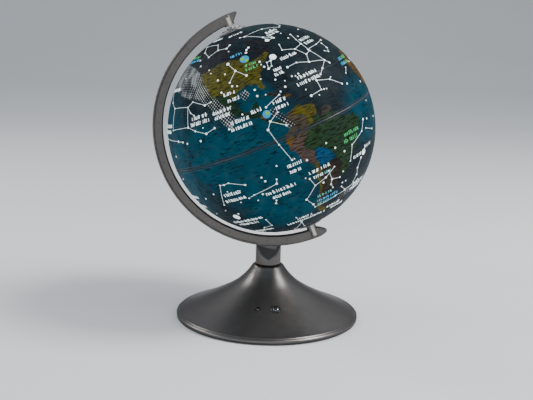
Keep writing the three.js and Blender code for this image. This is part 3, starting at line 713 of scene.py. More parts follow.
def tip_rim(name, end, way):
    """The raised border that runs round one end of the arm, on both faces; way is 1 at the top."""
    outline = [Vector((x, math.sqrt(r ** 2 - (x - ARM_SHIFT) ** 2))) for r, x in end]
    outline += [Vector((x, math.sqrt(ARM_OUTER_R ** 2 - (x - ARM_SHIFT) ** 2))) for x in (
        end[-1][1] - 5, end[-1][1] - 10, end[-1][1] - 16)]
    path = [Vector(p) for p in smooth_curve([tuple(p) for p in outline], 3)]
    solids = Solids()
    for side in (-1, 1):
        sections = []
        for before, point, after in zip([path[0]] + path, path, path[1:] + [path[-1]]):
            along = (after - before).normalized()
            inward = Vector((-along.y, along.x))
            ring = []
            for depth, y in ((0.5, 4.0), (0.5, 4.3), (0.8, 4.47), (1.5, 4.47), (1.8, 4.3), (1.8, 4.0)):
                spot = point + inward * depth
                ring.append(GLOBE @ Vector((spot.x, side * y, way * spot.y)))
            sections.append(ring)
        solids.add(*lofted(sections))
    sharpen(solids.piece(name, "stand", "gunmetal", smooth=True), 40)


def pivot_boss(name, z0, z1):
    """The boss that carries a pivot: round, with a flat land down each face of the arm."""
    boss = turned_piece(name, "stand", "gunmetal", [
        (0, z0), (5.6, z0, 0.7), (5.6, z1, 0.7), (0, z1)], 64, GLOBE)
    carve(boss, [block((-8, -9, -140), (8, -5.1, 140), GLOBE), block((-8, 5.1, -140), (8, 9, 140), GLOBE)])
    sharpen(boss, 20)


def highlight_strip_land(name, z0, z1):
    """A bright metal strip in each flat land of a boss, set off to one side: a painted highlight."""
    solids = Solids()
    for side in (-1, 1):
        outline = [(x, side * y) for x, y in ((-0.9, 5.0), (-0.7, 5.3), (0.9, 5.5), (2.6, 5.3), (2.8, 5.0))]
        solids.add(*prism(outline, z0, z1, GLOBE))
    sharpen(solids.piece(name, "stand", "gunmetal", BOSS_HIGHLIGHT_METAL, smooth=True), 30)


def degree_marks():
    """A mark every ten degrees and a shorter one between, raised a little on the front and rear faces."""
    solids = Solids()
    half = 0.3 / 128  # radians: 0.3 mm at a radius of 128 mm
    for side in (-1, 1):
        for ten in range(1, 18):
            for offset, low, high in ((-5, 126.0, 129.0), (0, 127.2, 128.2)):
                a = math.radians(ten * 10 + offset)
                solids.add(*lofted([[on_arm(r, a + s * half, side * y) for s, y in (
                    (-1, 4.0), (1, 4.0), (1, 4.3), (-1, 4.3))] for r in (low, high)]))
    solids.piece("arm_degree_marks", "stand", "dark_plastic")


arm_blade()
tip_rim("arm_top_rim", TOP_END, 1)
tip_rim("arm_low_rim", LOW_END, -1)
pivot_boss("pivot_boss_top", 121.3, 133.0)
pivot_boss("pivot_boss_low", -133.0, -117.5)
highlight_strip_land("highlight_strip_land_top", 121.6, 130.2)
highlight_strip_land("highlight_strip_land_low", -130.2, -117.8)
degree_marks()

# ------------------------------------------------------------------ neck

NECK_R = 14.4
NECK_BOTTOM = 62
SPIGOT_R = 11  # the neck's lower end, in the base's socket
FACET_START, FACET_END = 66.5, 84.3


def facet_wedge(side, out):
    """The solid outside one facet's plane, moved outwards along the plane's normal."""
    rise, run = FACET_END - FACET_START, NECK_R - ARM_HALF
    length = math.hypot(rise, run)
    low = (NECK_R + 10 * run / rise + rise / length * out, FACET_START - 10 + run / length * out)
    top = (ARM_HALF - 0.1 + rise / length * out, FACET_END + run / length * out)
    outline = [low, top, (top[0], 110), (60, 110), (60, low[1])]
    across = Matrix(((0, 0, 1, 0), (side, 0, 0, 0), (0, 1, 0, 0), (0, 0, 0, 1)))
    return cutter(*prism(outline, -24, 24, across))


def neck():
    piece = turned_piece("neck_casting", "stand", "gunmetal", [
        (0, SOCKET_FLOOR), (SPIGOT_R, SOCKET_FLOOR, 0.5), (SPIGOT_R, NECK_BOTTOM),
        (NECK_R, NECK_BOTTOM, 0.7), (NECK_R, 89), (0, 89)], 128)
    carve(piece, [facet_wedge(-1, 0), facet_wedge(1, 0)])
    inside = GLOBE @ Matrix.Rotation(math.radians(90), 4, "X")
    arc = [(ARM_SHIFT - 131 * math.sin(a), 131 * math.cos(a)) for a in np.linspace(2.3, 3.14, 48)]
    ball_side = cutter(*prism([*arc, (ARM_SHIFT, -40), (-100, -40)], -30, 30, inside))
    carve(piece, [ball_side])
    for side in (-1, 1):
        pocket = drum(NECK_R - 2.2, FACET_START - 6, FACET_END - 1.6, segments=96)
        carve(pocket, [facet_wedge(side, -0.8)], "INTERSECT")
        carve(piece, [pocket])
    sharpen(round_edges(piece, 0.3, 18), 16)


neck()

# ------------------------------------------------------------------ rear wire cover of the arm

STRAIGHT_DOWN = math.pi - math.radians(23.5)  # the angle at which the arm passes over the neck
COVER_START, COVER_END = STRAIGHT_DOWN - 0.107, math.pi - 0.065
COVER_SCREW = STRAIGHT_DOWN - 0.078
COVER_R0, COVER_R1 = 124.5, 129.7


def wire_cover():
    cover = new_piece("arm_wire_cover_moulded", "stand", "gunmetal", ["arm_wire_cover"])
    r0, r1 = COVER_R0, COVER_R1
    section = [(r0, 3.3), (r1, 3.3), (r1, 4.2), (r1 - 0.25, 4.45), (r0 + 0.25, 4.45), (r0, 4.2)]
    angles = np.linspace(COVER_START, COVER_END, 40)
    fill(cover, *lofted([[on_arm(r, a, y) for r, y in section] for a in angles]))
    at = on_arm((r0 + r1) / 2, COVER_SCREW)
    out = Matrix.Translation(at) @ Matrix.Rotation(math.radians(-90), 4, "X")
    carve(cover, [drum(1.2, 2, 6, out), drum(2.2, 4.0, 6, out)])
    sharpen(cover)
    screw_piece("arm_cover_screw_cross", "arm_cover_screw",
                Matrix.Translation(at + Vector((0, 4.1, 0))) @ Matrix.Rotation(math.radians(90), 4, "X"),
                1.9, 0.35, 0.8, 3.4)


wire_cover()

# ------------------------------------------------------------------ turned pieces on the tilted axis

turned_piece("top_pin_plated", "stand", "steel", [
    (0, 104), (2, 104, 0.5), (2, 129.6), (0, 129.6)], 40, GLOBE, ["top_pivot_pin"])
turned_piece("top_collar_turned", "stand", "dial_plastic", [
    (2.3, 116.7), (11, 116.7, 0.35), (11, 117.9, 0.45), (9.2, 117.9), (9.0, 117.7), (8.6, 117.7),
    (8.4, 117.9), (4.5, 117.9, 0.4), (4.0, 119.5, 0.3), (2.3, 119.5)], 96, GLOBE, ["top_collar"])
turned_piece("thrust_washer_turned", "stand", "brass", [
    (3.3, -117.1), (6.4, -117.1, 0.2), (6.4, -116.4, 0.2), (3.3, -116.4)], 64, GLOBE, ["thrust_washer"])
turned_piece("south_bushing_turned", "ball", "dial_plastic", [
    (3.4, -116.1), (13.9, -116.1), (14.9, -115.95, 0.3), (15.45, -115.3, 0.2), (15.4, -114.8), (11.5, -114.8),
    (11.5, -110.5), (3.4, -110.5)], 96, GLOBE, ["south_bushing"])


def cap_z(r, sphere):
    return math.sqrt(sphere ** 2 - r ** 2)


def hour_dial():
    """A shallow cap that follows the ball, with a raised rim."""
    low, high = BALL_R + 0.3, BALL_R + 1.2
    under = [(r, cap_z(r, low)) for r in (2.3, 6, 10, 13, 15.4)]
    over = [(r, cap_z(r, high)) for r in (14.0, 11.5, 9.2, 6, 2.3)]
    lip = [(15.45, cap_z(15.45, low) + 0.6, 0.3)] + [(r, cap_z(r, low + 1.0), 0.2) for r in (15.3, 14.3)]
    turned_piece("hour_dial_printed", "dial", "dial_plastic", under + lip + over, 120, GLOBE, ["hour_dial"])


def dial_numbers():
    """Twice twelve hours round the dial, with a tick beside each number, all slightly raised."""
    solids = Solids()

    def on_dial(turn, radius, across, height):
        x = radius * math.cos(turn) + across * math.sin(turn)
        y = radius * math.sin(turn) - across * math.cos(turn)
        return GLOBE @ Vector((x, y, cap_z(math.hypot(x, y), BALL_R + 1.2 + height)))

    for hour in range(24):
        turn = math.radians(15 * hour)
        curve = bpy.data.curves.new("hour", "FONT")
        curve.body = str(hour % 12 + 1)
        curve.size = 2.0
        curve.align_x = "CENTER"
        curve.extrude = 0.05
        holder = new_object("hour", curve)
        bpy.context.view_layer.update()
        mesh = holder.to_mesh()
        solids.add([on_dial(turn, 10.0 + v.co.y, v.co.x, v.co.z) for v in mesh.vertices],
                   [tuple(p.vertices) for p in mesh.polygons])
        holder.to_mesh_clear()
        bpy.data.objects.remove(holder)
        solids.add(*lofted([[on_dial(turn, radius, s, h) for s, h in (
            (-0.14, -0.05), (0.14, -0.05), (0.14, 0.05), (-0.14, 0.05))] for radius in (12.2, 13.7)]))
    solids.piece("dial_numbers", "dial", "white_plastic")


hour_dial()
dial_numbers()

# ------------------------------------------------------------------ the ball's print

# Places on the print are in degrees east of the meridian that faces -Y at rest, and in degrees north.
# LANDS and the patches of painted glow on the sea are in true longitudes, and from_front() turns those into such
# places.
FRONT_MERIDIAN = -87


def from_front(outline):
    return [(lon - FRONT_MERIDIAN, lat) for lon, lat in outline]


def direction(lon, lat):
    """Unit vectors in the globe's own axes."""
    a, b = np.radians(lon), np.radians(lat)
    return np.stack([np.cos(b) * np.sin(a), -np.cos(b) * np.cos(a), np.sin(b)], -1)



# The sea's colour outside the patches of painted light, and the colour that the painted light brings it to.
OCEAN_DIM = linear(24, 43, 54)
OCEAN_PAINTED_GLOW = linear(0, 80, 102)
CANADA = linear(37, 37, 48)
USA = linear(104, 100, 26)
MEXICO = linear(30, 62, 38)
BRAZIL = linear(44, 74, 44)
MAUVE = linear(104, 84, 76)
BROWN = linear(64, 54, 44)
MUSTARD = linear(110, 102, 20)
OCHRE = linear(126, 92, 22)
BLUE_LAND = linear(0, 92, 140)
SLATE = linear(36, 42, 46)
TEAL_LAND = linear(34, 66, 70)
DARK_BROWN = linear(52, 40, 28)
UMBER = linear(78, 68, 62)
TAN = linear(96, 84, 66)

LANDS = [
    (CANADA, [(-141, 70), (-141, 60), (-135, 59), (-130, 55), (-127, 50), (-123, 49), (-95, 49.5),
        (-89, 48.5), (-83, 46), (-82, 42), (-79, 43), (-75, 45), (-71, 45.5), (-69, 47), (-67, 45),
        (-61, 46), (-65, 49), (-60, 50), (-56, 52), (-62, 57), (-65, 60), (-70, 61), (-78, 62.5),
        (-77, 57), (-79, 54), (-80, 51), (-82, 53), (-85, 55), (-93, 58), (-94, 61), (-88, 64), (-86, 67),
        (-82, 69), (-95, 71), (-108, 68), (-115, 69), (-128, 70)]),
    (CANADA, [(-80, 73), (-68, 70), (-62, 66), (-66, 62), (-72, 64), (-78, 66), (-85, 70), (-90, 73)]),
    (CANADA, [(-118, 72), (-105, 74), (-102, 69), (-115, 69)]),
    (CANADA, [(-95, 77), (-75, 77), (-65, 82), (-85, 83)]),
    (SLATE, [(-141, 70), (-156, 71), (-166, 68), (-162, 66), (-168, 65.5), (-161, 63), (-165, 61),
        (-158, 58.5), (-164, 54.5), (-152, 58), (-150, 61), (-141, 60)]),
    (TEAL_LAND, [(-73, 78), (-60, 82), (-30, 83), (-18, 80), (-20, 74), (-23, 70), (-32, 68), (-40, 65),
        (-43, 60), (-50, 62), (-53, 67), (-55, 70), (-60, 75), (-70, 76)]),
    (USA, [(-124.5, 49), (-110, 50.5), (-95, 51), (-88, 49), (-84, 47), (-82, 43.5), (-79, 44), (-75, 46),
        (-71, 46.5), (-68, 47.5), (-67, 45), (-70, 43.5), (-72, 41.7), (-75, 40), (-76, 37), (-79, 34.5),
        (-81, 32), (-80, 27), (-81, 25.8), (-82.5, 28.5), (-84, 31), (-89, 31.8), (-94, 31), (-97, 29),
        (-98, 27.5), (-101, 30), (-104, 30), (-106.5, 33), (-111, 33), (-114.8, 34), (-117, 34.5),
        (-120.5, 37), (-122.5, 41), (-124.3, 45)]),
    (MEXICO, [(-117, 34.5), (-114.8, 34), (-111, 33), (-106.5, 33), (-104, 30), (-101, 30), (-98, 27.5),
        (-97.8, 22), (-96, 19.5), (-94.5, 18.6), (-91, 19), (-90.3, 21.4), (-87, 22), (-88, 18),
        (-91, 17.5), (-92.2, 14.8), (-96, 16.4), (-101, 18), (-105.5, 20.5), (-106, 23), (-109, 26.5),
        (-112.5, 31), (-114.3, 32), (-112, 28), (-110, 24), (-112, 25), (-115, 29.5)]),
    (MEXICO, [(-92.2, 14.8), (-91, 17.5), (-88, 18), (-88.5, 16), (-83.3, 15), (-83.7, 11), (-81, 9),
        (-79.5, 9.6), (-77.4, 8.5), (-78, 7.3), (-80.5, 7.3), (-83, 8.3), (-86, 11), (-87.5, 13)]),
    (OCHRE, [(-89.3, 14), (-85, 15.5), (-83.3, 15), (-83.7, 12.5), (-87.5, 13)]),
    (BROWN, [(-84.9, 22.3), (-80, 23.5), (-74.2, 20.4), (-77.5, 20.1), (-82, 22.5)]),
    (OCHRE, [(-74.4, 18.7), (-73, 20), (-68.5, 18.7), (-71, 17.8)]),
    (TAN, [(-77.4, 8.5), (-75.5, 10.8), (-71.7, 12.3), (-73, 9), (-70, 7), (-67.5, 6.2), (-67.5, 2),
        (-70, -4.2), (-75, -0.2), (-78.8, 1.5), (-77, 4)]),
    (MUSTARD, [(-71.7, 11.8), (-69, 13), (-67, 11), (-62, 11.5), (-60, 9), (-60.5, 6), (-61, 4.8),
        (-65, 4), (-65, 1.6), (-66.5, 0.9), (-67.5, 2), (-67.5, 6.2), (-73, 9)]),
    (SLATE, [(-60, 9), (-57, 6.4), (-58, 2), (-60, 2), (-60.5, 5.5)]),
    (UMBER, [(-57, 6.4), (-54, 6.2), (-51.5, 4.4), (-51, 2.4), (-58, 2)]),
    (OCHRE, [(-80, 0.8), (-78.8, 1.5), (-75, -0.2), (-78, -3), (-79.5, -5), (-80.3, -3.3), (-81, -2)]),
    (MAUVE, [(-80.3, -3.3), (-79.5, -5), (-78, -3), (-75, -0.2), (-70, -4.2), (-73.5, -7), (-72.5, -9.5),
        (-69, -11.5), (-69, -17.5), (-70.4, -19), (-76, -14.5), (-79, -8.3), (-81.3, -6), (-81.2, -4.5)]),
    (BLUE_LAND, [(-69, -12.3), (-65.3, -12), (-60.5, -15), (-58, -20.5), (-62, -21), (-67, -22.6),
        (-69, -17.5)]),
    (BRAZIL, [(-65, 1.6), (-65, 4), (-61, 4.8), (-60, 2), (-51, 2.4), (-50, 1), (-48, -0.8), (-44, -2.5),
        (-39, -3), (-35.2, -6), (-35, -9), (-39, -13.5), (-39.3, -18), (-41, -22), (-45, -23.8),
        (-48.5, -26.3), (-49, -29), (-53.5, -34), (-57.6, -30), (-54, -27), (-54.5, -24), (-57.6, -21),
        (-60.5, -15), (-65.3, -12), (-69, -11.5), (-72.5, -9.5), (-73.5, -7), (-70, -4.2), (-67.5, 2)]),
    (DARK_BROWN, [(-62, -21), (-58, -20.5), (-54.5, -24), (-54, -27), (-58.5, -27.2), (-62, -22)]),
    (SLATE, [(-57.6, -30), (-53.5, -34), (-55, -35.2), (-58.3, -34.3)]),
    (BROWN, [(-67, -22.6), (-62, -21), (-58.5, -27.2), (-54, -27), (-57.6, -30), (-58.3, -34.3),
        (-57, -36.5), (-62, -39), (-65, -41), (-63.8, -42.5), (-67.5, -46), (-65.8, -48), (-69, -51),
        (-68.5, -52.3), (-72, -52), (-71.5, -44), (-71, -38), (-70, -33), (-68.5, -27)]),
    (MUSTARD, [(-70.4, -19), (-69, -17.5), (-67.5, -23), (-69, -27), (-70, -33), (-71, -38), (-72, -44),
        (-72.5, -50), (-68.5, -52.3), (-67, -55), (-72, -54), (-75.5, -50), (-74, -43), (-73.2, -38),
        (-71.5, -31), (-70.5, -25)]),
    (OCHRE, [(-17, 21), (-17, 15), (-13, 9), (-8, 4.5), (-2, 5), (4, 6.3), (9, 4.5), (14, 13), (12, 22),
        (8, 27), (-1, 22), (-8, 27.5), (-13, 27.5)]),
    (MEXICO, [(-13, 27.5), (-8, 27.5), (-1, 22), (8, 27), (12, 22), (25, 22), (25, 31.7), (20, 32),
        (15, 32.5), (10.5, 34), (10, 37), (0, 36), (-6, 35.8), (-9.8, 31)]),
    (MUSTARD, [(25, 22), (12, 22), (14, 13), (22, 9), (34, 10), (37.5, 19), (34, 27.5), (32.5, 31),
        (25, 31.7)]),
    (MAUVE, [(34, 10), (22, 9), (30, 3), (30, -4), (40, -10.5), (39, -7), (42, -1.5), (51, 11.5),
        (43.5, 11.5), (37.5, 19)]),
    (BRAZIL, [(14, 13), (9, 4.5), (9.5, 0), (12, -5), (13.5, -9), (12, -17), (24, -17.5), (30, -8),
        (30, 3), (22, 9)]),
    (USA, [(12, -17), (15, -27), (18.4, -34), (25, -34), (31, -29.5), (35.5, -24), (35, -20), (40.5, -15),
        (40, -10.5), (30, -8), (24, -17.5)]),
    (BLUE_LAND, [(44, -16), (49.5, -12.5), (50, -16), (47, -25), (44, -23)]),
    (MAUVE, [(-9, 37), (-9, 43), (-1.5, 43.5), (-1.5, 46.5), (-4.5, 48.5), (2, 51), (8, 54), (14, 54),
        (15, 48), (8, 44.3), (3, 43), (0, 39), (-2, 36.7), (-5.5, 36)]),
    (MUSTARD, [(8, 57), (11, 54), (19, 54.5), (24, 54), (28, 48), (28, 42), (26, 40.5), (22.5, 36.7),
        (19.5, 41), (13, 45.5), (15, 48), (14, 54), (8, 54)]),
    (OCHRE, [(8, 44.3), (13, 45.5), (18, 40), (16, 38), (12, 42)]),
    (TEAL_LAND, [(11, 59), (5, 59), (5, 62), (14, 68), (25, 71), (30, 69.5), (28, 64), (30, 60), (23, 60),
        (25, 65.5), (21, 64), (17, 60.5), (16, 56), (12, 56)]),
    (BRAZIL, [(30, 69.5), (41, 67), (60, 69), (70, 73), (80, 73), (100, 77), (113, 74), (140, 72.5),
        (160, 70), (180, 68.5), (178, 63), (163, 60), (160, 53), (156, 51.5), (156, 58), (163, 62.5),
        (155, 59), (142, 59), (135, 54.5), (141, 52.5), (138, 46), (131.5, 43), (131, 47.5), (126, 52),
        (121, 53), (117, 49.5), (98, 50.5), (87, 49.5), (80, 50.5), (75, 54), (60, 51), (50, 51), (50, 46),
        (45, 43), (39, 47), (33, 46), (28, 48), (24, 54), (24, 59), (30, 60), (28, 64)]),
    (OCHRE, [(50, 51), (60, 51), (75, 54), (80, 50.5), (87, 49.5), (83, 47), (80, 42), (74, 39), (66, 37),
        (54, 37.5), (53, 42), (50, 46)]),
    (MUSTARD, [(74, 39), (80, 42), (83, 47), (87, 49.5), (98, 50.5), (117, 49.5), (121, 53), (126, 52),
        (131, 47.5), (130, 42.5), (124.5, 40), (121.5, 39), (118, 38.5), (122.5, 37), (119.5, 35),
        (122, 30), (118, 24.5), (110, 21), (105, 22.5), (98, 24), (97, 28), (88, 28), (79, 31)]),
    (MAUVE, [(26.5, 39.5), (35, 42), (41.5, 41.5), (49, 38), (54, 37.5), (66, 37), (74, 39), (74, 32),
        (70, 24.5), (66.5, 25.3), (57, 26), (51, 28), (48, 30), (39, 32), (36, 36.5), (28, 36.5)]),
    (BROWN, [(35, 28), (36, 32), (39, 32), (48, 30), (51.5, 25), (56, 26), (59.5, 22.5), (55, 17.5),
        (45, 13), (43, 14), (39, 21)]),
    (BLUE_LAND, [(70, 24.5), (74, 32), (79, 31), (88, 28), (97, 28), (92, 24), (89, 22), (87, 21.5),
        (80.5, 15.5), (80, 12), (77.5, 8), (73, 17), (72.5, 21), (69, 22)]),
    (MEXICO, [(97, 28), (98, 24), (105, 22.5), (108, 21.5), (106, 19), (109, 13), (107, 10.5), (105, 9),
        (103, 11), (100.5, 13.5), (99.5, 9), (103.5, 1.5), (98, 9), (98, 16), (94, 16), (92, 24)]),
    (USA, [(124.5, 40), (130, 42.5), (129.5, 36), (126.5, 34.5), (125, 38)]),
    (MAUVE, [(130.5, 31.5), (136, 34), (140.5, 35.5), (142, 39.5), (141.5, 43), (145, 43.5), (142, 45.5),
        (140, 42), (139.5, 38.5), (136, 36), (131, 34.3)]),
    (USA, [(114, -22), (122, -18), (126, -14), (131, -12), (136.5, -12), (136, -15.5), (140.5, -17.5),
        (142.5, -11), (146, -19), (153, -26), (153, -31), (150, -37.5), (144, -38.5), (138, -35),
        (131, -31.5), (124, -33.5), (115, -34.5), (113.5, -26)]),
    (MEXICO, [(145, -41), (148, -41), (147, -43.5)]),
    (MEXICO, [(173, -35), (178, -38), (174, -41.5), (172.5, -43.5), (168, -46.5), (167, -45.5), (172, -41),
        (175, -40)]),
    (BROWN, [(95.5, 5.5), (104, -3), (106, -6), (102, -4)]),
    (BROWN, [(105.5, -6.5), (114.5, -7.3), (114, -8.7), (106, -7.8)]),
    (BRAZIL, [(109, 1.5), (113, 3), (117, 7), (119, 5), (117.5, 1), (116, -4), (110.5, -3)]),
    (MAUVE, [(131, -1), (138, -1.8), (145, -4), (150.5, -10.5), (143, -9), (138, -8), (133, -4)]),
    (OCHRE, [(120.5, 18.5), (122, 18), (124, 12.5), (126.5, 7), (122, 8), (120, 14)]),
    (OCHRE, [(119.5, 0.5), (125, 1.5), (121, -1), (123, -4.5), (119.5, -5)]),
    (BRAZIL, [(-5.5, 50), (1.5, 51.3), (0, 53.5), (-3, 58.5), (-6, 57), (-3, 54)]),
    (MUSTARD, [(-10, 52), (-6, 52.3), (-6, 55), (-9.5, 54)]),
    (TEAL_LAND, [(-24, 65), (-14, 64.5), (-16, 66.5), (-22, 66.3)]),
    (SLATE, [(-180, -78), (-150, -77), (-120, -74), (-90, -73), (-75, -70), (-62, -64), (-60, -70),
        (-62, -77), (-40, -78), (-20, -73), (0, -70), (30, -69), (60, -67), (90, -66), (120, -66.5),
        (150, -68.5), (170, -72), (180, -78), (180, -91), (-180, -91)]),
]

# Patches of painted light on the sea, where the water is painted brighter as if the glow of the lamp inside showed
# strongest there: (longitude, latitude, how far it reaches), in degrees on the map.
PAINTED_GLOW_WATER = [(-97, -8, 34), (-97, -36, 22), (-122, 2, 22), (-88, 22, 11), (-170, 5, 40), (-25, -5, 20),
                (75, -20, 34), (130, 15, 20), (155, -40, 24), (10, -45, 22)]

# The dotted band of the Milky Way, in degrees from the front meridian, and its other patches.
MILKY_WAY = [
    [(-104, 62), (-80, 61), (-60, 58), (-45, 54), (-37, 49), (-31, 42), (-26, 34), (-20, 28), (-15, 23),
        (-14, 18), (-17, 13), (-21, 17), (-25, 25), (-31, 31), (-38, 35), (-50, 38), (-65, 43), (-82, 46),
        (-104, 48)], [(-8, 28.5), (-4, 30), (-2, 27), (-6, 24.5)],
    [(4, 16), (8, 15), (11, 9), (13, 4), (10, 4), (7, 9), (4, 12)],
    [(30, -52), (60, -48), (85, -55), (110, -62), (140, -60), (165, -45), (182, -20), (190, 5), (186, 6),
        (176, -20), (158, -42), (136, -54), (110, -56), (86, -48), (60, -42), (34, -45)],
    [(190, 5), (198, 25), (214, 42), (235, 54), (256, 62), (256, 48), (238, 42), (222, 32), (206, 16),
        (196, 2)],
]


def inside(outline, lon, lat):
    """Which of many points lie inside an outline, all in degrees, with longitudes wrapped to it."""
    hit = np.zeros(lon.shape, bool)
    middle_lon = sum(p[0] for p in outline) / len(outline)
    x = (lon - middle_lon + 180) % 360 - 180 + middle_lon
    for (x0, y0), (x1, y1) in zip(outline, outline[1:] + outline[:1]):
        if y0 == y1:
            continue
        crosses = (y0 > lat) != (y1 > lat)
        hit ^= crosses & (x < (x1 - x0) * (lat - y0) / (y1 - y0) + x0)
    return hit


def wander(lon, lat, seed):
    """Small smooth waves that keep coasts from being straight."""
    rng = np.random.default_rng(seed)
    total = np.zeros(lon.shape)
    for scale, size in ((9, 0.7), (17, 0.42), (31, 0.24), (53, 0.14)):
        a, b, c, d = rng.uniform(0, 2 * math.pi, 4)
        x, y = np.radians(lon) * scale, np.radians(lat) * scale
        along = np.sin(x + a + 1.7 * np.sin(y * 0.7 + b))
        total += size * along * np.cos(y * 1.3 + c + 1.3 * np.sin(x * 0.8 + d))
    return total


def print_colours(lon, lat):
    """Colour, land mask and dotted-band mask of the print at many places."""
    near = lon + wander(lon, lat, 3) * 1.1, lat + wander(lon, lat, 8)
    bright = np.zeros(len(lon))
    place = direction(lon, lat)
    # Painted light: the sea is lightened towards the middle of each patch.
    for spot_lon, spot_lat, reach in PAINTED_GLOW_WATER:
        away = np.degrees(np.arccos(np.clip(place @ direction(spot_lon - FRONT_MERIDIAN, spot_lat), -1, 1)))
        bright = np.maximum(bright, np.clip((reach * 1.15 - away) / (reach * 0.5), 0, 1))
    colour = np.outer(1 - bright, OCEAN_DIM) + np.outer(bright, OCEAN_PAINTED_GLOW)
    land = np.zeros(len(lon))
    for tint, outline in LANDS:
        hit = inside(from_front(outline), *near)
        colour[hit] = tint
        land[hit] = 1
    band = np.zeros(len(lon))
    for outline in MILKY_WAY:
        band[inside(outline, lon + 0.6 * wander(lon, lat, 5), lat)] = 1
    return colour, land, band


def map_ink():
    """The print: mottled tints, brush-like streaks along the parallels, and a fine dotted band."""
    m = Nodes("map_print")
    tint, land = m.attribute("tint", "Color"), m.attribute("land", "Fac")
    band, chart = m.attribute("band", "Fac"), m.attribute("chart", "Vector")

    def ink_noise(detail, per_lon, per_lat):
        """Noise with its own number of blobs per degree of longitude and of latitude."""
        return m.noise(1.0, detail, where=chart, stretch=(per_lon, per_lat, 1.0))

    colour = m.mix(m.spread(ink_noise(4.0, 0.16, 0.2), 0.0, 0.3, 0.42, 0.72), tint,
                   m.mix(0.35, tint, linear(120, 135, 120)))
    murk = m.spread(ink_noise(3.0, 0.06, 0.09), 0.34, 0.0, 0.38, 0.56)
    colour = m.mix(murk, colour, linear(24, 46, 62))
    streaks = ink_noise(2.0, 0.24, 1.25)
    on_land = m.maths("MULTIPLY", m.spread(streaks, 0.0, 0.85, 0.50, 0.57), land)
    patches = m.spread(ink_noise(1.0, 0.09, 0.11), 0.0, 1.0, 0.43, 0.56)
    at_sea = m.maths("MULTIPLY", m.spread(streaks, 0.0, 0.9, 0.53, 0.585), patches)
    colour = m.mix(m.maths("MAXIMUM", on_land, at_sea), colour, m.mix(0.8, tint, linear(12, 14, 12)))
    split = m.add("ShaderNodeSeparateXYZ")
    m.link(chart, split.inputs[0])

    def wave(operation, x_rate, y_rate):
        """One of the two crossed waves whose sum makes the lattice of dots."""
        x = m.maths("MULTIPLY", split.outputs["X"], x_rate)
        y = m.maths("MULTIPLY", split.outputs["Y"], y_rate)
        return m.maths("SINE", m.maths(operation, x, y))

    dots = m.maths("ADD", wave("ADD", 3.6, 2.7), wave("SUBTRACT", 2.7, 3.6))
    thick = m.spread(ink_noise(2.0, 0.13, 0.13), -1.5, 0.1, 0.36, 0.62)
    in_band = m.mix(m.spread(m.maths("ADD", dots, thick), 0.0, 1.0, -0.4, 0.7),
                    m.mix(0.6, colour, linear(10, 16, 22)), linear(216, 224, 228))
    colour = m.mix(band, colour, in_band)
    m.into("Base Color", m.mix(0.88, colour, (0.0, 0.0, 0.0)))
    m.into("Emission Color", colour)
    m.put(emission_strength=0.6, specular_ior_level=0.05)
    m.into("Roughness", m.spread(m.noise(5.0, 3.0), 0.45, 0.6))
    return m.material


def ball_point(lon, lat, r):
    return GLOBE @ Vector(direction(lon, lat) * r)


LON_STEPS = 600
BALL_WALL = 1.5


def ball_half(name, node, way, hole_r, ink):
    """One thin half of the ball, fine outside and coarse inside; way is 1 for the north, -1 for the south."""
    first, last = math.degrees(math.asin(1.0 / BALL_R)), math.degrees(math.acos(hole_r / BALL_R))
    outer = [way * v for v in np.linspace(first, last, 145)]
    inner = [way * v for v in np.linspace(last, first, 9)]
    rows = [(v, SKIN) for v in outer] + [(v, BALL_R - BALL_WALL) for v in inner]
    lat = np.repeat([row[0] for row in rows], LON_STEPS)
    lon = np.tile(np.arange(LON_STEPS) * 360 / LON_STEPS, len(rows))
    radius = np.repeat([row[1] for row in rows], LON_STEPS)
    local = direction(lon, lat) * radius[:, None]
    vertices = local @ np.array(GLOBE.to_3x3()).T + np.array(GLOBE.translation)
    index = np.arange(len(rows) * LON_STEPS).reshape(len(rows), LON_STEPS)
    ahead, up = np.roll(index, -1, 1), np.roll(index, -1, 0)
    quads = np.stack([index, ahead, np.roll(up, -1, 1), up], 2).reshape(-1, 4)
    if way < 0:
        quads = quads[:, ::-1]
    half = new_piece(name, "ball", "map_plastic", [node], ink)
    mesh = half.data
    mesh.from_pydata((vertices * MM).tolist(), [], quads.tolist())
    mesh.shade_smooth()
    colour, land, band = print_colours(lon, lat)
    rgba = np.concatenate([colour, np.ones((len(lon), 1))], 1)
    chart = np.stack([np.where(lon > 180, lon - 360, lon), lat, np.zeros(len(lon))], 1)
    for layer, kind, field, values in (
            ("tint", "FLOAT_COLOR", "color", rgba), ("land", "FLOAT", "value", land),
            ("band", "FLOAT", "value", band), ("chart", "FLOAT_VECTOR", "vector", chart)):
        attribute = mesh.attributes.new(layer, kind, "POINT")
        attribute.data.foreach_set(field, values.astype(np.float32).ravel())


INK = map_ink()
ball_half("north_half_printed", "north_hemisphere", 1, 6.3, INK)
ball_half("south_half_printed", "south_hemisphere", -1, 11.8, INK)


def equator_band():
    """The joining ring in the equator gap, with its printed double line."""
    turned_piece("equator_band", "ball", "white_plastic", [
        (111.2, -4), (112.7, -4), (112.7, -0.75), (SKIN - 0.25, -0.75), (SKIN + 0.02, -0.5, 0.2),
        (SKIN - 0.3, 0, 0.2), (SKIN + 0.02, 0.5, 0.2), (SKIN - 0.25, 0.75), (112.7, 0.75), (112.7, 4),
        (111.2, 4),
    ], 360, GLOBE, ["equator_ring"], plain("equator_ink", linear(26, 34, 46), 0.4, shade=0.3))


equator_band()

# ------------------------------------------------------------------ glowing marks on the ball

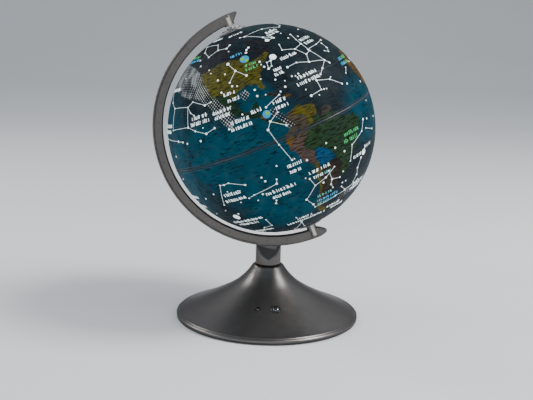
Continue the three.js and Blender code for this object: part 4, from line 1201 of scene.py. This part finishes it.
class Marks(Solids):
    """Gathers small raised strips and discs on the ball into one piece."""

    def line(self, points, width):
        """A strip through (lon, lat) points, width in millimetres."""
        for (lon0, lat0), (lon1, lat1) in zip(points, points[1:]):
            a, b = ball_point(lon0, lat0, MARK_TOP), ball_point(lon1, lat1, MARK_TOP)
            centre = GLOBE.translation
            steps = max(1, math.ceil((a - b).length / 4))
            sections = []
            for k in range(steps + 1):
                p = a.lerp(b, k / steps) - centre
                out = p.normalized()
                side = out.cross(b - a).normalized() * width / 2
                top, low = centre + out * MARK_TOP, centre + out * (SKIN - 0.1)
                sections.append([low - side, low + side, top + side * 0.8, top - side * 0.8])
            self.add(*lofted(sections))

    def disc(self, lon, lat, r, sides=14):
        """A low round dot, r in millimetres."""
        out = (ball_point(lon, lat, 1) - GLOBE.translation).normalized()
        side = out.cross(Vector((0, 1, 0.01))).normalized()
        other = out.cross(side)
        sections = []
        for height, grow in ((SKIN - 0.1, 1.0), (MARK_TOP - 0.04, 1.0), (MARK_TOP, 0.85)):
            ring = []
            for k in range(sides):
                a = 2 * math.pi * k / sides
                flat = (side * math.cos(a) + other * math.sin(a)) * r * grow
                ring.append(GLOBE.translation + (out * height + flat).normalized() * height)
            sections.append(ring)
        self.add(*lofted(sections))

    def print_on_ball(self, name, material):
        return self.piece(name, "ball", "map_plastic", material)


STROKE_RISE = 0.792  # degrees that a stroke reaches above and below the middle of a name


def scribble(marks, rng, lon, lat, width):
    """A row of strokes that stands for a printed name without spelling one; its middle is at (lon, lat)."""
    letter = 1.05 / max(0.3, math.cos(math.radians(lat)))
    x = lon - width / 2
    while x < lon + width / 2 - letter * 0.5:
        low, high = lat - STROKE_RISE, lat + STROKE_RISE + (0.35 if rng.random() < 0.25 else 0.0)
        kind = rng.randrange(4)
        stem = x + (0 if kind < 2 else letter * 0.6)
        marks.line([(stem, low), (stem, high)], 0.8)
        if kind != 3:
            bar = rng.choice((low + 0.15, lat, high - 0.15))
            marks.line([(x, bar), (x + letter * 0.6, bar)], 0.75)
        if kind in (1, 2):
            marks.line([(x + letter * 0.3, low), (x + letter * 0.3, lat)], 0.6)
        x += letter * (1.5 if rng.random() < 0.1 else 0.98)


# Star figures seen from the front, as chains of (longitude, latitude) from the front meridian.
FRONT_FIGURES = [
    [(-60, 72), (-47, 66), (-33, 60), (-22, 63), (-11, 61.5), (-7, 63.5)],
    [(-22, 63), (-26, 69), (-60, 72)], [(8, 67), (14, 66), (42, 66.5), (60, 61), (68, 62), (84, 66)],
    [(14, 66), (28, 58), (28, 54), (35, 54)], [(28, 58), (34, 55)], [(-11, 48.7), (-6.5, 42.5), (-12, 37)],
    [(-6.5, 42.5), (-0.5, 37.3)], [(5.5, 51.5), (7, 53.5), (9.5, 54.7)],
    [(20, 42), (18, 40), (16.5, 36.8), (13.8, 36), (15, 39.8), (18, 40)],
    [(32, 47.5), (30, 43.3), (38.5, 40.5), (47, 42), (48, 46), (51, 51)],
    [(38.5, 40.5), (42, 34.8), (39, 30.2), (31.5, 32.8), (24.5, 32.5)], [(42, 34.8), (46.8, 36), (47, 42)],
    [(46.8, 36), (50.2, 27.4), (52.2, 25)], [(39, 30.2), (50.2, 27.4)],
    [(50.2, 27.4), (44, 24), (40, 21.6)],
    [(27.5, 13.8), (34.8, 14.4), (35.2, 19.6), (43.5, 17.2), (50, 12.2)],
    [(-80, 17.5), (-58, 15.7), (-53, 14.8)],
    [(-63, 33.5), (-45.5, 32), (-46, 21.5), (-64, 22), (-63, 33.5)], [(-63, 33.5), (-70, 37), (-78, 43)],
    [(-45.5, 32), (-41, 34), (-31, 30), (-26.5, 30.5)], [(-45.5, 32), (-43, 28.5), (-40, 26.5)],
    [(-46, 21.5), (-40.5, 18.6), (-33, 15.6), (-27, 17)], [(3, 17.5), (12, 20.8)],
    [(-0.3, 6.8), (2.3, 10.2), (7.5, 13)], [(2.3, 10.2), (9, 5.5)], [(-0.3, 6.8), (2, -2), (5.2, -11.7)],
    [(-23, -15.5), (-31.5, -11.9), (-34.8, -12.2), (-37.4, -11.9), (-44.6, -24)],
    [(-6, -18.4), (-7, -20.8), (-21.5, -22.7), (-25.5, -23.7)], [(-11.7, -30.5), (-12.9, -32.4)],
    [(10.8, -25.6), (13, -31), (5.3, -38), (9, -43.8), (10, -46.8), (28, -45.5), (37, -45)],
    [(13, -31), (20.5, -29), (27, -25.3)], [(23, -26), (24.5, -32), (23.5, -35), (25, -38)],
    [(24.5, -32), (30.5, -33.3)], [(32.5, -40.5), (37, -44.5), (52, -43)],
    [(55.5, -9.5), (52, -14.7), (41.8, -18.6), (39.4, -27)], [(57, -14.7), (66, -17.5)],
    [(50.2, -29), (47.3, -34), (48, -38.5), (45.5, -42.5), (50, -45)],
    [(-27.5, -42.5), (-29.5, -50), (-38, -50.5), (-50, -56)], [(-7, -50), (-5.5, -58), (-7, -68)],
    [(-5.5, -58), (-22, -68)], [(59, 16), (63, 18.5)], [(58, 32), (61, 30.5), (64, 33), (64.5, 36.5)],
    [(46.5, 37), (58, 37.6), (70, 38.5)],
]
# Figures on the far side, as chains of (right ascension in hours, declination in degrees).
FAR_FIGURES = [
    [(5.92, 7.4), (5.42, 6.3), (5.53, -0.3), (5.24, -8.2), (5.8, -9.7), (5.68, -1.9), (5.92, 7.4)],
    [(5.53, -0.3), (5.6, -1.2), (5.68, -1.9)],
    [(5.63, 21.1), (4.6, 16.5), (4.33, 15.6), (4.48, 15.9), (5.44, 28.6)], [(4.33, 15.6), (4.01, 12.5)],
    [(7.58, 31.9), (7.76, 28), (7.34, 22), (7.07, 20.6), (6.63, 16.4)],
    [(7.58, 31.9), (6.75, 25.1), (6.38, 22.5)],
    [(6.38, -18), (6.75, -16.7), (7.14, -26.4), (6.98, -29), (7.4, -29.3)],
    [(9.76, 23.8), (9.88, 26), (10.28, 23.4), (10.33, 19.8), (10.14, 12), (11.24, 15.4), (11.82, 14.6),
        (11.24, 20.5), (10.33, 19.8)],
    [(11.06, 61.8), (11.03, 56.4), (11.9, 53.7), (12.26, 57), (11.06, 61.8)],
    [(12.26, 57), (12.9, 56), (13.4, 54.9), (13.79, 49.3)],
    [(5.28, 46), (5.99, 44.9), (5.99, 37.2), (5.44, 28.6), (4.95, 33.2), (5.28, 46)],
    [(3.08, 40.9), (3.4, 49.9), (3.08, 53.5), (3.72, 47.8), (3.96, 40), (3.9, 31.9)],
    [(13.42, -11.2), (12.69, -1.4), (13.04, 11)], [(12.69, -1.4), (12.33, -0.7), (11.84, 1.8)],
    [(13.42, -11.2), (13.58, -0.6), (14.03, 1.5)], [(12.44, -63.1), (12.52, -57.1)],
    [(12.8, -59.7), (12.25, -58.7)],
    [(14.66, -60.8), (14.06, -60.4), (13.66, -53.5), (12.69, -49), (12.14, -50.7)],
    [(6.4, -52.7), (8.38, -59.5), (9.28, -59.3), (9.22, -69.7)],
    [(2.27, -51.5), (2.97, -40.3), (3.8, -36.2), (4.3, -33.8), (3.9, -13.5), (3.55, -9.5), (5.13, -5.1)],
    [(9.46, -8.7), (8.92, 5.9), (8.78, 6.4)],
    [(9.46, -8.7), (10.18, -12.4), (10.83, -16.2), (11.55, -31.9), (13.32, -23.2)],
    [(7.65, 5.2), (7.45, 8.3)], [(12.93, 38.3), (12.56, 41.4)], [(3.04, 4.1), (2.72, 3.2), (2.32, -3)],
]
FAR_BIG_STARS = [(6.75, -16.7), (5.24, -8.2), (5.28, 46), (14.26, 19.2), (13.42, -11.2), (6.4, -52.7)]
LOOSE_STARS = [
    (-28, 49.6), (-26, 47), (-14.3, 43), (-20, 41), (-8, 33.6), (-11, 34.6), (6.5, 32.2), (-18.5, 33.4),
    (1, 28), (1, 24.5), (5.5, 23.5), (13.5, 22), (14, 28.8), (18.5, 26.3), (17, 23.3), (23.5, 27),
    (25.5, 26.3), (27.8, 26.8), (26.5, 17.7), (-9.8, 18.6), (-19, 14), (-34.5, 19), (-38, 13), (-49, 13.5),
    (-3.2, -11.6), (-12.9, -14.6), (-12, -17.2), (6.6, -11.6), (12.4, -15), (8.7, -24.2), (-32, -24.8),
    (-21.4, -26.7), (-16.8, -23.8), (-35.3, -16.4), (-46, -16), (-56, -18), (18.4, -31.5), (33.2, -30.8),
    (25.2, -11), (29.7, -15.5), (35.4, -19.8), (60, -10.4), (36, -38), (33, -38), (-40, 55), (11, 42),
    (11, 40), (12, 38), (-46, 60), (46, 55), (44.5, 49.2), (54, 47.5), (32, 12.4), (36.4, 14), (38, 13.7),
    (45, 18), (54, 11), (-9, 58), (45, 62), (70, 52), (75, 20), (-70, -5), (-66, 8), (-62, -30), (-72, -20),
    (-58, 50), (66, -2), (72, -12), (70, 8), (-48, -28), (-41, -32.2),
]
BIG_STARS = [(-45.4, -34.5, 4.2), (53, -26.6, 3.5), (20.8, 41.6, 3.6), (28, 54.2, 2.4), (-11, 48.7, 1.7)]
# Printed names: (longitude, latitude, width in degrees of longitude).
WHITE_NAMES = [
    (-36, 25, 11.5), (-36.5, 22, 14.5), (-20.5, 24, 12), (-21, 21.3, 9.5), (-14, 31.3, 8), (-12, 27.5, 7),
    (-12.3, 16.2, 11), (-12, 13, 12), (-2.4, 17.7, 6), (11, 18, 7.5), (10.5, 15, 7), (30.3, 38.3, 13.5),
    (18.6, 33.8, 6.5), (18.5, 31.2, 6.5), (32.5, 24.7, 13), (31.5, 21.4, 15.5), (56, 44.3, 13),
    (55.5, 41, 12), (43, 60.3, 16), (41, 57.7, 15), (-33.2, -18.4, 11.5), (-34, -22.2, 14.5),
    (-6.3, -24.9, 17.5), (-7, -28.3, 12), (5.2, -14.3, 8), (5.2, -17.7, 7), (18.5, -22.5, 14), (16, -26, 6),
    (-42, -39.3, 28), (-44, -42.5, 20), (0, -52.3, 12), (1, -55.3, 38), (46.5, -26.2, 8), (28, -52.5, 16),
    (54, -44.8, 15), (52, -47.3, 14), (33, -55.5, 16), (-76, 24.3, 20), (-76, 21.2, 18), (-70, 44, 18),
    (-44, -54, 24), (58, -24, 8), (5, 74, 30), (-42, 77, 34), (-70, -17, 12), (-73, -24, 14),
]
BLUE_NAMES = [
    (-3.2, 52.7, 11), (20.5, -42.8, 17.5), (24, -45.6, 14), (64.5, 24, 5), (64, 21, 5), (-62, 61, 28),
]
TEAL_NAMES = [(19, -39.3, 11.5), (17, -45.6, 10), (22.5, -26, 4)]
GREEN_NAMES = [
    (43.5, -11.8, 12), (42, -15.2, 11), (5, 43, 9), (4.5, 40.4, 9), (71, 24, 8), (70, 21, 8), (-66, 64, 26),
]


CHART_LON, CHART_HOURS = 20, 18.62  # a longitude on the print and the right ascension printed there
CHART_STRETCH = 1.06


def sky_place(hours, declination):
    """Where the printed chart puts a star of that right ascension and declination."""
    return CHART_LON + (CHART_HOURS - hours) * 15, declination * CHART_STRETCH


def star_chart():
    rng = random.Random(11)
    lines, dots, names = Marks(), Marks(), Marks()
    far = [[sky_place(*star) for star in chain] for chain in FAR_FIGURES]
    for chain in FRONT_FIGURES + far:
        lines.line(chain, 0.55)
        for lon, lat in chain:
            dots.disc(lon, lat, rng.choice((0.85, 1.05, 1.25)))
    for lon, lat in LOOSE_STARS:
        dots.disc(lon, lat, rng.choice((0.7, 0.9, 1.1)))
    for _ in range(130):
        lon, lat = rng.uniform(90, 270), math.degrees(math.asin(rng.uniform(-0.96, 0.96)))
        dots.disc(lon, lat, rng.choice((0.7, 0.85, 1.1)))
    for lon, lat, r in BIG_STARS:
        dots.disc(lon, lat, r, 28)
    for star in FAR_BIG_STARS:
        dots.disc(*sky_place(*star), 3.0, 28)
    for lon, lat, width in WHITE_NAMES:
        scribble(names, rng, lon, lat, width)
    for chain in far:
        lon = sum(p[0] for p in chain) / len(chain)
        lat = min(p[1] for p in chain) - 3.2
        if lat > -72 and len(chain) > 3:
            scribble(names, rng, lon, lat, rng.uniform(8, 13))
            scribble(names, rng, lon, lat - 3, rng.uniform(6, 12))
    white = glow("star_white", linear(226, 236, 238), 1.0)
    lines.print_on_ball("star_figures", glow("figure_lines", linear(196, 210, 214), 0.7))
    dots.print_on_ball("star_dots", white)
    names.print_on_ball("star_names", glow("name_ink", linear(222, 232, 234), 0.95))
    for name, rows, colour in (("blue_names", BLUE_NAMES, linear(40, 148, 196)),
                               ("teal_names", TEAL_NAMES, linear(70, 160, 160)),
                               ("green_names", GREEN_NAMES, linear(52, 160, 92))):
        marks = Marks()
        for lon, lat, width in rows:
            scribble(marks, rng, lon, lat, width)
        marks.print_on_ball(name, glow(name + "_ink", colour, 0.6))


LAND_LIFT = 0.04  # how far a planet's land stands above its sea


def planet(name, lon, lat, r, patches):
    """A small two-tone disc printed over a bright star."""
    for suffix, colour, spots in (("sea", linear(16, 118, 164), [(0, 0, r)]),
                                  ("land", linear(84, 158, 56), patches)):
        marks = Marks()
        for dx, dy, size in spots:
            marks.disc(lon + dx, lat + dy, size, 24)
        piece = marks.print_on_ball(f"{name}_{suffix}", glow(f"{name}_{suffix}_ink", colour, 0.6))
        if suffix == "land":
            centre = GLOBE.translation * MM
            for v in piece.data.vertices:
                v.co = centre + (v.co - centre) * (1 + LAND_LIFT / BALL_R)


star_chart()
planet("planet_north", 2.3, 47.6, 4.9, [(-1.6, 0.6, 2.2), (1.2, -1.4, 1.9)])
planet("planet_middle", 2.0, 14.2, 4.2, [(0.6, 0.4, 2.1)])


def parallels():
    """Thin dark printed lines: the tropics and polar circles, and the double line along the equator."""
    marks = Marks()
    for lat, width in ((1.15, 0.5), (-1.15, 0.5), (23.4, 0.35), (-23.4, 0.35), (66.5, 0.35), (-66.5, 0.35)):
        marks.line([(lon, lat) for lon in range(0, 361, 3)], width)
    marks.print_on_ball("parallels", plain("line_ink", linear(16, 26, 36), 0.45, shade=0.3))


parallels()

# ------------------------------------------------------------------ CAD nodes that stay

SLOT_OF = {part["node"]: part["material_slot"] for part in frame["record"]["subparts"]}
for node_name, node_object in frame["nodes"].items():
    if not node_object.hide_render:
        for material_slot in node_object.material_slots:
            material_slot.material = MATERIALS[SLOT_OF[node_name]]

# ------------------------------------------------------------------ floor and light, in metres

def floor():
    """A pale floor that curves up into a backdrop far behind."""
    profile = [(-6, 0), (2, 0), (3, 0.05), (3.6, 0.2), (4.0, 0.5)]
    mesh = bpy.data.meshes.new("floor")
    mesh.from_pydata([(x, y, z) for y, z in profile for x in (-7, 7)], [],
                     [(2 * i, 2 * i + 1, 2 * i + 3, 2 * i + 2) for i in range(len(profile) - 1)])
    mesh.shade_smooth()
    ground = new_object("floor", mesh)
    m = Nodes("floor_paper")
    m.into("Base Color", m.mix(m.noise(400.0, 3.0), (0.70, 0.70, 0.69), (0.74, 0.74, 0.73)))
    m.put(roughness=0.85)
    mesh.materials.append(m.material)


def area_light(name, place, target, size, power, colour=(1, 1, 1)):
    data = bpy.data.lights.new(name, "AREA")
    data.shape = "RECTANGLE"
    data.size, data.size_y = size
    data.energy = power
    data.color = colour
    lamp = new_object(name, data)
    lamp.location = place
    lamp.rotation_euler = (Vector(target) - Vector(place)).to_track_quat("-Z", "Y").to_euler()


floor()
for side, way in (("left", -1), ("right", 1)):
    area_light(f"key_{side}", (2.1 * way, -0.7, 1.1), (0, 0, 0.15), (0.8, 1.2), 17)
    area_light(f"back_{side}", (1.3 * way, 1.9, 1.6), (0, 0, 0.05), (1.2, 1.0), 1)
area_light("shoulder_left", (-1.46, 0.6, 1.28), (0, 0, 0.05), (0.45, 0.45), 9.5)
area_light("shoulder_right", (1.16, -0.22, 1.67), (0, 0, 0.05), (0.6, 0.6), 38)
area_light("low_front", (0, -2.8, 0.6), (0, -0.9, 0.0), (2.6, 0.7), 8)
area_light("high_front", (0, -2.3, 1.4), (0, 0, 0.05), (1.2, 0.8), 6.5, (0.80, 0.90, 1.0))


def studio_world():
    """Soft light from above that falls off towards the horizon."""
    world = bpy.data.worlds.new("studio")
    world.use_nodes = True
    tree = world.node_tree
    background = tree.nodes["Background"]
    background.inputs["Color"].default_value = (0.54, 0.60, 0.68, 1)
    direction = tree.nodes.new("ShaderNodeTexCoord")
    split = tree.nodes.new("ShaderNodeSeparateXYZ")
    level = tree.nodes.new("ShaderNodeMapRange")
    for socket, value in zip(level.inputs[1:5], (0.0, 0.7, 0.34, 0.88)):
        socket.default_value = value
    tree.links.new(direction.outputs["Generated"], split.inputs[0])
    tree.links.new(split.outputs["Z"], level.inputs[0])
    tree.links.new(level.outputs[0], background.inputs["Strength"])
    bpy.context.scene.world = world


studio_world()
